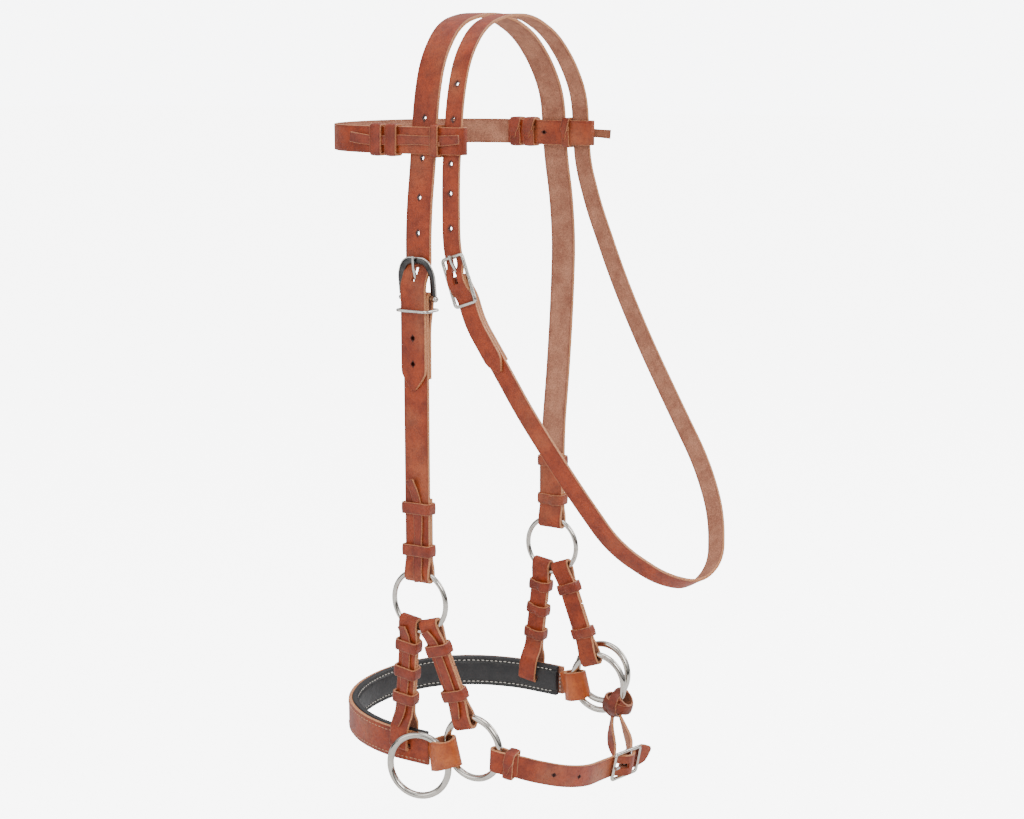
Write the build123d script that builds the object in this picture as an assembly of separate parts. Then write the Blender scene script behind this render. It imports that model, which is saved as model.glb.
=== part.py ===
from build123d import *
import os
from math import acos, atan2, cos, degrees, radians, sin, sqrt, tan

# Side-pull bitless bridle, in mm. Origin at the poll, under the top of the crown strap:
# +Z up, the horse's nose towards -Y, its near (left) side towards +X.

# leather
crown_width = 22.2
crown_thick = 3.0
throat_width = 15.0
throat_thick = 2.5
brow_width = 20.5
brow_thick = 2.5
strut_width = 16.5
strut_thick = 2.6
nose_width = 25.4
face_thick = 3.0
pad_thick = 5.0
chin_width = 18.0
chin_thick = 2.6
lace_width = 7.5
lace_thick = 1.5
band_width = 9.0
band_thick = 1.6
layer_gap = 0.2          # between leather layers that lie on each other
run_gap = 0.35           # round anything that turns or slides

# rings
ring_bore = 44.5
upper_wire = 4.2
lower_wire = 5.5

# places
near_ring_x = 108.0
off_ring_x = -95.0
upper_ring_z = -450.0
brow_z = -91.0
brow_half = 96.5         # middle of the head straps where the browband holds them
strap_space = 7.4        # between the crown strap and the throat strap, at the browband
throat_y = crown_width / 2 + strap_space + throat_width / 2
nose_z = -575.0
nose_half = 100.0
loop_y = {1: 19.0, -1: 25.0}            # middle of the noseband's near and off end loops
ring_b_y = {1: 41.5, -1: 47.5}          # the rings behind them
ring_b_z = -567.0
rein_y, rein_z = -2.5, -587.0
strut_turn = 32.0        # where a strut leaves its upper ring, in degrees from straight down
brow_play = 2.4          # lets the browband slide
middle_bar = -1.8        # how far a small buckle's middle bar lies under its frame
heel_x, heel_z = 106.0, -210.0
crown_hole = 4.0
throat_hole = 3.6
crown_tip_z = -280.0
crown_hole_heights = (-76, -103, -136, -160, -238, -258)
cheek_band_rise = (42.0, 8.2)           # above the place where the layers part to go round the ring

upper_mid = (ring_bore + upper_wire) / 2
lower_mid = (ring_bore + lower_wire) / 2
cheek_outer_x = near_ring_x + (crown_thick + layer_gap) / 2
cheek_inner_x = near_ring_x - (crown_thick + layer_gap) / 2
billet_x = cheek_outer_x + crown_thick + layer_gap

parts = {}


def keep(name, solid):
    """name one piece, or a group of like pieces"""
    parts[name] = solid


def unit(v):
    return Vector(*v).normalized()


# ---------- flat straps: a route in a plane, given thickness, then width ----------

def corner_radii(points, closed=False, small={}):
    """each bend as large as its two runs allow, unless small names it"""
    n = len(points)
    radii = []
    for i in range(n) if closed else range(1, n - 1):
        a, b, c = points[i - 1], points[i], points[(i + 1) % n]
        v1 = (b[0] - a[0], b[1] - a[1])
        v2 = (c[0] - b[0], c[1] - b[1])
        l1, l2 = sqrt(v1[0] ** 2 + v1[1] ** 2), sqrt(v2[0] ** 2 + v2[1] ** 2)
        turn = acos(max(-1, min(1, (v1[0] * v2[0] + v1[1] * v2[1]) / (l1 * l2))))
        radii.append(small.get(i, 0.47 * min(l1, l2) / tan(max(turn, 0.01) / 2)))
    return radii


def beside(points, radii, distance, closed=False):
    """a route moved to its left by distance, with the radii that keep it parallel"""
    n = len(points)
    moved, new_radii = [], []
    for i in range(n):
        b = points[i]
        a = points[i - 1] if (i > 0 or closed) else None
        c = points[(i + 1) % n] if (i < n - 1 or closed) else None
        normals = []
        for p, q in ((a, b), (b, c)):
            if p is not None and q is not None:
                length = sqrt((q[0] - p[0]) ** 2 + (q[1] - p[1]) ** 2)
                normals.append((-(q[1] - p[1]) / length, (q[0] - p[0]) / length))
        if len(normals) == 1:
            m = normals[0]
            moved.append((b[0] + m[0] * distance, b[1] + m[1] * distance))
            continue
        m, k = normals
        share = distance / (1 + m[0] * k[0] + m[1] * k[1])
        moved.append((b[0] + (m[0] + k[0]) * share, b[1] + (m[1] + k[1]) * share))
        left_turn = m[0] * k[1] - m[1] * k[0] > 0
        radius = radii[i if closed else i - 1]
        new_radii.append(radius - distance if left_turn else radius + distance)
    return moved, new_radii


def smooth(points, radii, closed=False):
    """straight runs joined by tangent arcs"""
    pts = [Vector(*p) for p in points]
    n = len(pts)
    corners = []
    for i in range(n):
        if not closed and i in (0, n - 1):
            corners.append((pts[i], pts[i], pts[i]))
            continue
        back = (pts[i - 1] - pts[i]).normalized()
        ahead = (pts[(i + 1) % n] - pts[i]).normalized()
        turn = acos(max(-1, min(1, -back.dot(ahead))))
        radius = radii[i if closed else i - 1]
        if turn < 0.01:
            corners.append((pts[i], pts[i], pts[i]))
            continue
        reach = radius * tan(turn / 2)
        bulge = (back + ahead).normalized() * (radius / cos(turn / 2) - radius)
        corners.append((pts[i] + back * reach, pts[i] + bulge, pts[i] + ahead * reach))
    edges = []
    for i, (start, middle, end) in enumerate(corners):
        if (end - start).length > 1e-6:
            edges.append(ThreePointArc(start, middle, end))
        if closed or i < n - 1:
            following = corners[(i + 1) % n][0]
            if (following - end).length > 1e-6:
                edges.append(Line(end, following))
    return edges


def strap(plane, points, thick, width, small={}):
    """an open strap whose route lies in the plane"""
    radii = corner_radii(points, small=small)
    one, one_radii = beside(points, radii, thick / 2)
    two, two_radii = beside(points, radii, -thick / 2)
    edges = smooth(one, one_radii) + smooth(two, two_radii)
    edges += [Line(one[0], two[0]), Line(one[-1], two[-1])]
    return extrude(plane * make_face(Curve() + edges), width / 2, both=True)


def strap_ring(plane, points, thick, width, small={}):
    """a closed strap, its two layers lying together between its two bights"""
    radii = corner_radii(points, closed=True, small=small)
    faces = []
    for side in (thick / 2, -thick / 2):
        route, route_radii = beside(points, radii, side, closed=True)
        faces.append(make_face(Curve() + smooth(route, route_radii, closed=True)))
    faces.sort(key=lambda face: face.area)
    return extrude(plane * (faces[1] - faces[0]), width / 2, both=True)


def ring(centre, normal, mid, wire):
    plane = Plane(origin=centre, z_dir=normal)
    return plane * Torus(mid, wire / 2)


# ---------- straps that turn in space: rectangles along a rounded route ----------

def rounded(points, small={}, step=12):
    """points and their share of the route, along runs joined by tangent arcs"""
    pts = [Vector(*p) for p in points]
    out = [(pts[0], 0.0)]
    for i in range(1, len(pts) - 1):
        back, ahead = (pts[i - 1] - pts[i]), (pts[i + 1] - pts[i])
        l1, l2 = back.length, ahead.length
        back, ahead = back.normalized(), ahead.normalized()
        turn = acos(max(-1, min(1, -back.dot(ahead))))
        if turn < 0.02:
            out.append((pts[i], float(i)))
            continue
        radius = small.get(i, 0.47 * min(l1, l2) / tan(turn / 2))
        reach = radius * tan(turn / 2)
        middle = (back + ahead).normalized()
        centre = pts[i] + middle * (radius / cos(turn / 2))
        start = (pts[i] + back * reach - centre)
        count = max(2, round(degrees(turn) / step))
        for k in range(count + 1):
            angle = turn * k / count
            here = centre + start * cos(angle) + back * (-start.length * sin(angle))
            share = i + (k / count - 0.5) * 2 * reach / (l1 if k < count / 2 else l2)
            out.append((here, share))
    out.append((pts[-1], float(len(pts) - 1)))
    return out


def ribbon(points, across, thick, width, small={}, step=12):
    """a strap as one loft; across[i] is the strap's width direction at points[i]"""
    places = rounded(points, small, step)
    sections = []
    for i, (here, share) in enumerate(places):
        before, after = places[max(i - 1, 0)][0], places[min(i + 1, len(places) - 1)][0]
        travel = (after - before).normalized()
        low = min(int(share), len(points) - 2)
        part = share - low
        wide = Vector(*across[low]) * (1 - part) + Vector(*across[low + 1]) * part
        wide = (wide - travel * wide.dot(travel)).normalized()
        sections.append(Plane(origin=here, x_dir=wide, z_dir=travel) * Rectangle(width, thick))
    return loft(sections, ruled=True)


def pointed(solid, tip, travel, wide, width, length, thick):
    """cut a strap's square end to a point at tip"""
    plane = Plane(origin=tip, x_dir=wide, z_dir=Vector(*wide).cross(Vector(*travel)))
    for side in (1, -1):
        wedge = Polyline((0, 0), (side * width / 2, -length), (side * width, -length),
                         (side * width, length), (0, length), close=True)
        solid -= extrude(plane * make_face(wedge), thick / 2 + 0.15, both=True)
    return solid


def hole(centre, axis, size=4.0, depth=8.0):
    return Plane(origin=centre, z_dir=axis) * Cylinder(size / 2, depth)


def slot(centre, axis, along, length, size=4.6, depth=10.0):
    return Plane(origin=centre, x_dir=along, z_dir=axis) * Box(length, size, depth)


# ---------- head straps ----------

FRONT = Plane.XZ          # local x is X, local y is Z; widths run along Y

ring_reach = sqrt((ring_bore / 2) ** 2 - (crown_width / 2) ** 2)
bight_z = upper_ring_z + ring_reach - run_gap - crown_thick / 2
part_z = upper_ring_z + ring_bore / 2 + 4.25       # where the layers part round the ring
meet_z = part_z + 7.5
bight_half = upper_wire / 2 + run_gap + crown_thick / 2
cart_tilt = 7.0            # the cheek buckle's face leans out at the top
cart_height = 33.0
cart_width = crown_width + 13.8
cart_face = 5.8


def cheek_bight(x, side):
    """the route of a cheek strap from its outer layer round the ring to its lap end"""
    outer, inner = side * (crown_thick + layer_gap) / 2, -side * (crown_thick + layer_gap) / 2
    return [(x + outer, meet_z), (x + side * bight_half, part_z),
            (x + side * bight_half, bight_z), (x - side * bight_half, bight_z),
            (x - side * bight_half, part_z), (x + inner, meet_z), (x + inner, meet_z + 50)]


def crown_route():
    near = [(billet_x, crown_tip_z), (billet_x, heel_z - 10), (billet_x, heel_z + 11), (105.1, heel_z + 26),
            (105.2, heel_z + 45), (103.2, -138), (brow_half + 2.2, -110), (brow_half - 3.6, -60), (84, -30),
            (62, -4), (28, 4), (-10, 3), (-48, -11), (-75, -34)]
    start, end = -110, meet_z + 54
    off = [(-brow_half + 3.6, -60), (-brow_half - 2.2, start)]
    for x, share in ((-108, 0.14), (-113, 0.3), (-110, 0.52), (-104, 0.74), (off_ring_x - 2.6, 0.91)):
        off.append((x, start + (end - start) * share))
    off.append((off_ring_x - (crown_thick + layer_gap) / 2, end))
    return near + off + cheek_bight(off_ring_x, -1)


def crown_strap():
    route = crown_route()
    last = len(route) - 1
    small = {last - 3: bight_half * 0.95, last - 4: bight_half * 0.95, 2: 12, 3: 12}
    solid = strap(FRONT, route, crown_thick, crown_width, small)
    solid = pointed(solid, (billet_x, 0, crown_tip_z), (0, 0, -1), (0, 1, 0), crown_width, 13, crown_thick)
    for z in crown_hole_heights:
        solid -= hole((103, 0, z), (1, 0, 0), size=crown_hole, depth=30)
    solid -= slot((109, 0, heel_z + 16.7), (1, 0, 0), (0, 0, 1), 22.6)
    return solid - ring((off_ring_x, 0, upper_ring_z), (1, 0, 0), upper_mid, upper_wire + 2 * run_gap)


def near_cheek_strap():
    fold = 3.6
    route = [(cheek_inner_x, heel_z - 62), (cheek_inner_x, heel_z - 22), (heel_x - fold, heel_z - 5),
             (heel_x - fold, heel_z + fold), (heel_x + fold, heel_z + fold), (heel_x + fold, heel_z - 5),
             (cheek_outer_x, heel_z - 22), (cheek_outer_x, -300)]
    route += cheek_bight(near_ring_x, 1)
    last = len(route) - 1
    small = {3: fold * 0.95, 4: fold * 0.95, last - 3: bight_half * 0.95, last - 4: bight_half * 0.95}
    solid = strap(FRONT, route, crown_thick, crown_width, small)
    solid -= slot((heel_x, 0, heel_z + 4), (1, 0, 0), (0, 0, 1), 22, depth=14)
    return solid - ring((near_ring_x, 0, upper_ring_z), (1, 0, 0), upper_mid, upper_wire + 2 * run_gap)


# ---------- throat strap ----------

throat_frame = (103.0, 35.0, -195.0)
throat_down = Vector(0, 0.33, -0.944).normalized()
small_wire = 2.8
throat_buckle_long = 40.0
throat_fold = 2.75


def throat_at(s, offset):
    """a place near the throat buckle: s down the strap, offset outward from the frame's plane"""
    return (throat_frame[0] + offset,
            throat_frame[1] + throat_down.Y * s,
            throat_frame[2] + throat_down.Z * s)


def throat_strap():
    end = throat_buckle_long / 2 - small_wire / 2
    top = -(small_wire + throat_thick) / 2 - run_gap
    over = middle_bar + throat_fold + throat_thick + layer_gap
    under = top - throat_thick - layer_gap
    lap = under - throat_thick - layer_gap
    out_x = throat_frame[0] + under
    billet = [(out_x + throat_thick + layer_gap, 70, -262), throat_at(34, top),
              throat_at(end - 5.5, top), throat_at(4.5, over), throat_at(-4.5, over),
              throat_at(-end + 5.5, top), throat_at(-end - 3, top)]
    arch = [(100.6, throat_y + 1, -162), (99.4, throat_y, -132), (brow_half + 2.2, throat_y, -110),
            (brow_half - 3.6, throat_y, -60), (83, throat_y, -29), (60, throat_y, -5), (28, throat_y, 3),
            (-8, throat_y, 3), (-46, throat_y, -11), (-74, throat_y, -34), (-brow_half + 3.6, throat_y, -60),
            (-brow_half - 2.2, throat_y, -110), (-100, throat_y + 2, -124)]
    drop = [(-101, 36, -152), (-99, 62, -213), (-93, 90, -262), (-82, 126, -314), (-67, 158, -353),
            (-48, 181, -388), (-22, 194, -421), (8, 190, -433), (32, 173, -424), (58, 147, -398),
            (79, 127, -356), (90, 108, -322), (96, 88, -290), (out_x, 71, -263)]
    bar = middle_bar
    chape = [throat_at(34, under), throat_at(end - 5.5, under), throat_at(4.5, bar + throat_fold),
             throat_at(-throat_fold, bar + throat_fold), throat_at(-throat_fold, bar - throat_fold),
             throat_at(4.5, bar - throat_fold), throat_at(end - 5.5, lap), throat_at(34, lap),
             (out_x - throat_thick - layer_gap, 67, -257)]
    route = billet + arch + drop + chape
    level, slant = (0, 1, 0), (0, 0.87, 0.49)
    frame_wide = (0, -throat_down.Z, throat_down.Y)
    across = [slant] + [frame_wide] * 6 + [level] * 13 + [(0, 0.95, 0.25)] + [slant] * 13
    across += [frame_wide] * 8 + [slant]
    count = len(route)
    small = {count - 6: throat_fold * 0.93, count - 5: throat_fold * 0.93}
    solid = ribbon(route, across, throat_thick, throat_width, small)
    solid -= slot(throat_at(-7, 0), (1, 0, 0), throat_down, 20, size=4.4, depth=18)
    tip_way, tip_wide = unit((0, 0.6, -0.8)), unit((0, 0.8, 0.6))
    solid = pointed(solid, route[0], tip_way, tip_wide, throat_width, 10, throat_thick)
    for aside, z in ((0, -48), (0, -75), (0, -107), (1, -132), (2, -156)):
        solid -= hole((97, throat_y + aside, z), (1, 0, 0), size=throat_hole, depth=24)
    return solid


# ---------- browband ----------

BROW = Plane.XY.offset(brow_z)
brow_out = crown_thick / 2 + brow_play + brow_thick / 2
brow_fold_y = throat_y + throat_width / 2 + brow_thick / 2 + 1.5


def brow_end(side):
    """the lap of one end: inside the head straps, round behind them and forward again"""
    x = brow_half
    front = -crown_width / 2
    lap = x + brow_out - brow_thick - layer_gap
    route = [(lap, front - 35.9), (lap, front - 7.4), (x - brow_out, front - 1.1),
             (x - brow_out, brow_fold_y), (x + brow_out, brow_fold_y)]
    return [(side * px, y) for px, y in route]


def browband():
    half = [(brow_half + brow_out, -56), (92, -82), (70, -106), (36, -120)]
    front = half + [(0, -124)] + [(-x, y) for x, y in half[::-1]]
    route = brow_end(1) + front + brow_end(-1)[::-1]
    last = len(route) - 1
    small = {3: brow_out * 0.93, 4: brow_out * 0.93, last - 3: brow_out * 0.93, last - 4: brow_out * 0.93}
    small.update({1: 4, 2: 3, last - 1: 4, last - 2: 3, 5: 40, last - 5: 40})
    return strap(BROW, route, brow_thick, brow_width, small)


# ---------- bands and laces ----------

def band(plane, wide, low, high, across=0.0, height=band_width):
    """a leather band round a strap: wide is the strap's width, low to high its stack's depth.
    The plane's x runs through the stack, y along the strap, z across it."""
    inner_x, inner_z = high - low + 2 * layer_gap, wide + 2 * layer_gap
    outer_x, outer_z = inner_x + 2 * band_thick, inner_z + 2 * band_thick
    middle = Location(((low + high) / 2, 0, across))
    outer = Box(outer_x, height, outer_z)
    outer = fillet(outer.edges().filter_by(Axis.Y), 1.5)
    return plane * middle * (outer - Box(inner_x, height + 2, inner_z))


def cheek_bands(x, side):
    low = -(crown_thick + layer_gap / 2)
    high = crown_thick + layer_gap / 2 + lace_thick + layer_gap
    solids = []
    for z in [meet_z + rise for rise in cheek_band_rise]:
        plane = Plane(origin=(x, 0, z), x_dir=(side, 0, 0), z_dir=(0, -side, 0))
        solids.append(band(plane, crown_width, low, high))
    return Compound(children=solids)


def cheek_lace(x, side):
    over = crown_thick + layer_gap * 1.5 + lace_thick / 2
    out = bight_half + (crown_thick + lace_thick) / 2 + layer_gap
    route = [(over, meet_z + 54), (over, meet_z), (out, part_z), (out, part_z - 4.5)]
    route = [(x + side * px, z) for px, z in route]
    plane = Plane(origin=(0, -1.5, 0), x_dir=(1, 0, 0), z_dir=(0, -1, 0))
    return strap(plane, route, lace_thick, lace_width)


def brow_bands(side):
    x_out = brow_half + brow_out
    stack_out = x_out + brow_thick / 2 + layer_gap + lace_thick
    stack_in = x_out - brow_thick * 1.5 - layer_gap
    loop_in = brow_half - brow_out - brow_thick / 2
    solids = []
    front, middle = -crown_width / 2, (crown_width + strap_space + 0.4) / 2
    places = ((front - 27.9, stack_in, 10), (front - 13.9, stack_in, 10),
              (middle, loop_in, strap_space - 0.8))
    for y, low, height in places:
        plane = Plane(origin=(0, y, brow_z), x_dir=(side, 0, 0), z_dir=(0, 0, -side))
        solids.append(band(plane, brow_width, low, stack_out, height=height))
    return Compound(children=solids)


def brow_lace(side, end_y):
    x = side * (brow_half + brow_out + (brow_thick + lace_thick) / 2 + layer_gap)
    return strap(BROW, [(x, -51), (x, end_y)], lace_thick, lace_width)


# ---------- struts between the upper rings and the noseband ----------

ring_dip = 4.2             # a flat fold spans the ring's curve, so it hangs this far inside


def strut_plane(top, bottom):
    """x outward, y down the strut, z across its width"""
    travel = unit([b - a for a, b in zip(top, bottom)])
    outward = unit((1, 0, 0))
    outward = (outward - travel * outward.dot(travel)).normalized()
    length = (Vector(*bottom) - Vector(*top)).length
    return Plane(origin=top, x_dir=outward, z_dir=outward.cross(travel)), length


def strut_route(length, top_half, low_x, high_x, spread):
    """closed route: a bight of top_half at the top, one from low_x to high_x at the bottom"""
    mid = (strut_thick + layer_gap) / 2
    centre = (low_x + high_x) / 2
    return [(top_half, 0), (-top_half, 0), (-top_half, 9), (-mid, 17),
            (centre * 0.75 - mid, length - spread), (low_x, length - spread + 9), (low_x, length),
            (high_x, length), (high_x, length - spread + 9),
            (centre * 0.75 + mid, length - spread), (mid, 17), (top_half, 9)]


def strut(x, turn, bottom, low_x, high_x, spread):
    """turn is where the strut leaves its upper ring, in degrees from straight down"""
    depth = ring_bore / 2 - ring_dip - strut_thick / 2
    top = (x, depth * sin(radians(turn)), upper_ring_z - depth * cos(radians(turn)))
    plane, length = strut_plane(top, bottom)
    half = upper_wire / 2 + run_gap + strut_thick / 2
    route = strut_route(length, half, low_x, high_x, spread)
    bend = 0.93 * (high_x - low_x) / 2
    if bend > 5:
        bend = 3.5
    small = {0: half * 0.93, 1: half * 0.93, 6: bend, 7: bend}
    solid = strap_ring(plane, route, strut_thick, strut_width, small)
    solid -= ring((x, 0, upper_ring_z), (1, 0, 0), upper_mid, upper_wire + 2 * run_gap)
    return solid, plane, length, route


def strut_bands(plane, length, route, places, side, spread):
    """bands round both layers and the lace on the outer face"""
    solids = []
    for place in places:
        share = (place - 17) / (length - 17 - spread)
        share = max(0.0, min(1.0, share))
        centre = (route[4][0] + route[9][0]) / 2 * share
        reach = strut_thick + layer_gap / 2
        low, high = centre - reach, centre + reach
        if side > 0:
            high += lace_thick + layer_gap
        else:
            low -= lace_thick + layer_gap
        solids.append(band(plane * Location((0, place, 0)), strut_width, low - 0.3, high + 0.3))
    return Compound(children=solids)


def strut_lace(plane, length, route, side, spread):
    over = side * (strut_thick + layer_gap * 2 + lace_thick / 2)
    lean = (route[4][0] + route[9][0]) / 2
    return strap(plane, [(over, 18), (lean * 0.9 + over, length - spread - 6)], lace_thick, lace_width)


# ---------- noseband ----------

NOSE = Plane.XY.offset(nose_z)
nose_side = [(nose_half, -38), (nose_half - 12, -74), (nose_half - 36, -104), (nose_half - 68, -119)]
nose_route = ([(nose_half, loop_y[1] - 16)] + nose_side + [(0, -123)]
              + [(-x, y) for x, y in nose_side[::-1]] + [(-nose_half, loop_y[-1] - 16)])
loop_lean = 15.0           # the end loops lean with the rings that they hold
loop_half = 7.9
slit_y = -24.0
slit_z = nose_z - 2.0
nose_slack = 1.9           # between the noseband and the front struts round it


def nose_layer(distance, thick, width, shorten):
    route = [list(p) for p in nose_route]
    route[0][1] -= shorten
    route[-1][1] -= shorten
    moved, radii = beside(route, corner_radii(route), distance)
    small = {i + 1: r for i, r in enumerate(radii)}
    return strap(NOSE, moved, thick, width, small)


def end_loop(side):
    """the noseband's end, doubled back round the two lower rings"""
    lean = radians(loop_lean)
    plane = Plane(origin=(0, loop_y[side], nose_z), x_dir=(side, 0, 0),
                  z_dir=(0, -side * sin(lean), side * cos(lean)))
    face_x = nose_half + face_thick / 2 + layer_gap / 2
    lap_x = face_x - face_thick - layer_gap
    centre = nose_half - 1.2
    route = [(face_x, -19), (face_x, -14.5), (centre + loop_half, -6), (centre + loop_half, loop_half),
             (centre - loop_half, loop_half), (centre - loop_half, -6), (lap_x, -12.5), (lap_x, -15)]
    small = {3: loop_half * 0.94, 4: loop_half * 0.94}
    solid = strap(plane, route, face_thick, nose_width, small)
    for centre_ring, normal in lower_rings(side):
        solid -= ring(centre_ring, normal, lower_mid, lower_wire + 2 * run_gap)
    return solid


def lower_rings(side):
    """centre and axis of the two rings held by one end loop"""
    if side > 0:
        return [((nose_half + 7.6, rein_y, rein_z), unit((1, 0.22, 0.05))),
                ((nose_half - 4.0, ring_b_y[1], ring_b_z), unit((1, 0, 0)))]
    return [((-nose_half - 4.8, ring_b_y[-1] - 1, ring_b_z + 5.5), unit((1, 0, 0.14))),
            ((-nose_half + 4.4, ring_b_y[-1], ring_b_z - 1), unit((1, 0, 0)))]


def slit(side):
    hang = ring_bore / 2 - ring_dip
    lean = degrees(atan2(-hang * sin(radians(strut_turn)) - slit_y,
                         upper_ring_z - hang * cos(radians(strut_turn)) - slit_z))
    place = Location((side * nose_half, slit_y, slit_z)) * Rotation(-lean, 0, 0)
    return place * Box(40, strut_width + 1.4, strut_thick + 1.4)


def noseband_face():
    solid = nose_layer((face_thick + layer_gap) / 2, face_thick, nose_width, 0)
    for side in (1, -1):
        solid -= slit(side)
        for centre_ring, normal in lower_rings(side):
            solid -= ring(centre_ring, normal, lower_mid, lower_wire + 2 * run_gap)
        solid += end_loop(side)
    return solid


def noseband_padding():
    solid = nose_layer(-(pad_thick + layer_gap) / 2, pad_thick, nose_width + 1.6, 4)
    for side in (1, -1):
        solid -= slit(side)
        for centre_ring, normal in lower_rings(side):
            solid -= ring(centre_ring, normal, lower_mid, lower_wire + 2 * run_gap)
    return solid


# ---------- chin strap ----------

chin_frame = (-42.5, 104.5, -613.0)
chin_travel = unit((-0.99, 0.08, -0.09))
chin_up = unit((-0.08, 0.15, 1))
chin_up = (chin_up - chin_travel * chin_up.dot(chin_travel)).normalized()
chin_face = chin_travel.cross(chin_up)
chin_buckle_long = 40.0
chin_wire = 3.0
chin_fold = 2.95
knot_centre = (-nose_half, ring_b_y[-1] + 17.5, ring_b_z - 18)
chin_holes = ((64, 96.5, -589), (32, 102, -600))


def from_knot(x, y, z):
    """a place given from the middle of the knot"""
    return (knot_centre[0] + x, knot_centre[1] + y, knot_centre[2] + z)


def chin_at(s, offset):
    """a place near the chin buckle: s along the strap, offset out of the frame's plane"""
    return tuple(Vector(*chin_frame) + chin_travel * s + chin_face * offset)


def chin_strap():
    end = chin_buckle_long / 2 - chin_wire / 2
    under = -(chin_wire + chin_thick) / 2 - run_gap
    over = middle_bar + chin_fold + chin_thick + layer_gap
    tip = Vector(*chin_at(end + 18, under + 3)) + chin_up * 6
    x = lower_rings(1)[1][0][0]
    half = lower_wire / 2 + run_gap + chin_thick / 2
    y0, z0 = ring_b_y[1] + lower_mid - 4.6, ring_b_z - 4.5
    route = [(x - half + 2.6, y0 + 21, z0 - 2), (x - half, y0 + 9, z0 - 1), (x - half, y0 - half + 2.2, z0),
             (x + half, y0 - half + 2.2, z0), (x + half, y0 + 9, z0 - 1), (x - 1.2, y0 + 20, z0 - 3),
             (nose_half - 18, 90, -581), (54, 99, -593), (22, 103, -603), chin_at(-end - 11, under),
             chin_at(-end + 5.5, under), chin_at(-4.5, over), chin_at(4.5, over), chin_at(end - 5.5, under),
             chin_at(end + 6, under), tuple(tip)]
    across = [(0, 0.05, 1)] * 6 + [(0, 0.1, 1)] * 3 + [tuple(chin_up)] * 7
    small = {2: half * 0.93, 3: half * 0.93}
    solid = ribbon(route, across, chin_thick, chin_width, small)
    tip_way = (tip - Vector(*chin_at(end + 6, under))).normalized()
    solid = pointed(solid, tip, tip_way, chin_up, chin_width, 9, chin_thick + 3)
    solid -= slot(chin_at(-8, 0), chin_face, chin_travel, 15, size=4.4, depth=16)
    for place in chin_holes:
        solid -= hole(place, unit((0.1, 1, 0)), depth=20)
    for centre_ring, normal in lower_rings(1):
        solid -= ring(centre_ring, normal, lower_mid, lower_wire + 2 * run_gap)
    return solid


def chin_chape():
    """short strap from the knot down to the chin buckle's middle bar"""
    bar = middle_bar
    route = [chin_at(2, bar + chin_fold), chin_at(-chin_fold, bar + chin_fold),
             chin_at(-chin_fold, bar - chin_fold), chin_at(6, bar - chin_fold),
             chin_at(16, bar - chin_fold - 2), from_knot(24, 25, -24), from_knot(8, 9, -17)]
    across = [tuple(chin_up)] * 5 + [(0.45, 0.5, 0.6), (0.75, 0.5, 0.2)]
    small = {1: chin_fold * 0.93, 2: chin_fold * 0.93}
    solid = ribbon(route, across, chin_thick, chin_width - 4, small)
    return solid - slot(chin_at(-3, -1), chin_face, chin_travel, 10, size=5.0, depth=14)


def chin_tail():
    """the loose end below the knot"""
    route = [from_knot(1, -5, -14), from_knot(2, -5.5, -24), from_knot(4, -4, -36), from_knot(7, 1, -48)]
    across = [(0.8, 0.5, 0.2), (0.7, 0.6, 0.1), (0.4, 0.9, 0.1), (0.4, 0.9, 0.2)]
    solid = ribbon(route, across, chin_thick, 11)
    return pointed(solid, route[-1], unit((0.1, 0.2, -0.95)), unit((0.4, 0.9, 0.2)), 11, 9, chin_thick + 3)


def chin_knot():
    body = Box(22, 20, 24)
    body = Location(knot_centre) * fillet(body.edges(), 7)
    for centre_ring, normal in lower_rings(-1):
        body -= ring(centre_ring, normal, lower_mid, lower_wire + 2 * run_gap)
    return body


def chin_keeper():
    """the band that closes the chin strap's near end"""
    x = lower_rings(1)[1][0][0]
    travel = unit((-2.5, 14, -2))
    plane = Plane(origin=(x - 0.3, ring_b_y[1] + lower_mid + 10.5, ring_b_z - 6.4), x_dir=(1, 0.15, 0),
                  z_dir=Vector(1, 0.15, 0).normalized().cross(travel))
    return band(plane, chin_width + 2.2, -6.4, 5.4, height=8)


# ---------- buckles ----------

def cart_plane():
    tilt = radians(cart_tilt)
    return Plane(origin=(heel_x, 0, heel_z), x_dir=(0, 1, 0), z_dir=(cos(tilt), 0, -sin(tilt)))


def horseshoe(half, top, low, round_part):
    """outline of the cheek buckle, open at the bottom"""
    shoulder = top - half * round_part
    return make_face(Curve() + [
        Line((-half, low), (-half, shoulder)),
        Spline((-half, shoulder), (-half * 0.66, top - half * round_part * 0.24), (0, top),
               (half * 0.66, top - half * round_part * 0.24), (half, shoulder), tangents=((0, 1), (0, -1))),
        Line((half, shoulder), (half, low)),
        Line((half, low), (-half, low))])


def cheek_buckle_frame():
    face = horseshoe(cart_width / 2, cart_height, -1.5, 0.75)
    face -= horseshoe(cart_width / 2 - cart_face, cart_height - cart_face, -4, 0.5)
    solid = extrude(cart_plane() * face, 1.4, both=True)
    return solid - (cart_plane() * Rotation(0, 90, 0) * Cylinder(1.75, cart_width - 5))


def cheek_buckle_bar():
    return cart_plane() * Rotation(0, 90, 0) * Cylinder(1.7, cart_width - 5.2)


def tongue(plane, bar, points, wire):
    """a buckle tongue: a barrel on its bar and a bar that narrows to the tip"""
    barrel = plane * Location(bar) * Rotation(0, 90, 0) * (Cylinder(1.5 + 1.75, 4) - Cylinder(1.78, 6))
    sections = []
    for i, (v, out) in enumerate(points):
        size = wire * (1 - 0.35 * i / (len(points) - 1))
        before, after = points[max(i - 1, 0)], points[min(i + 1, len(points) - 1)]
        travel = Vector(0, after[0] - before[0], after[1] - before[1]).normalized()
        place = plane * Plane(origin=(0, v, out), x_dir=(1, 0, 0), z_dir=travel)
        sections.append(place * RectangleRounded(size, size, size * 0.4))
    return barrel + loft(sections, ruled=True)


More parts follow.
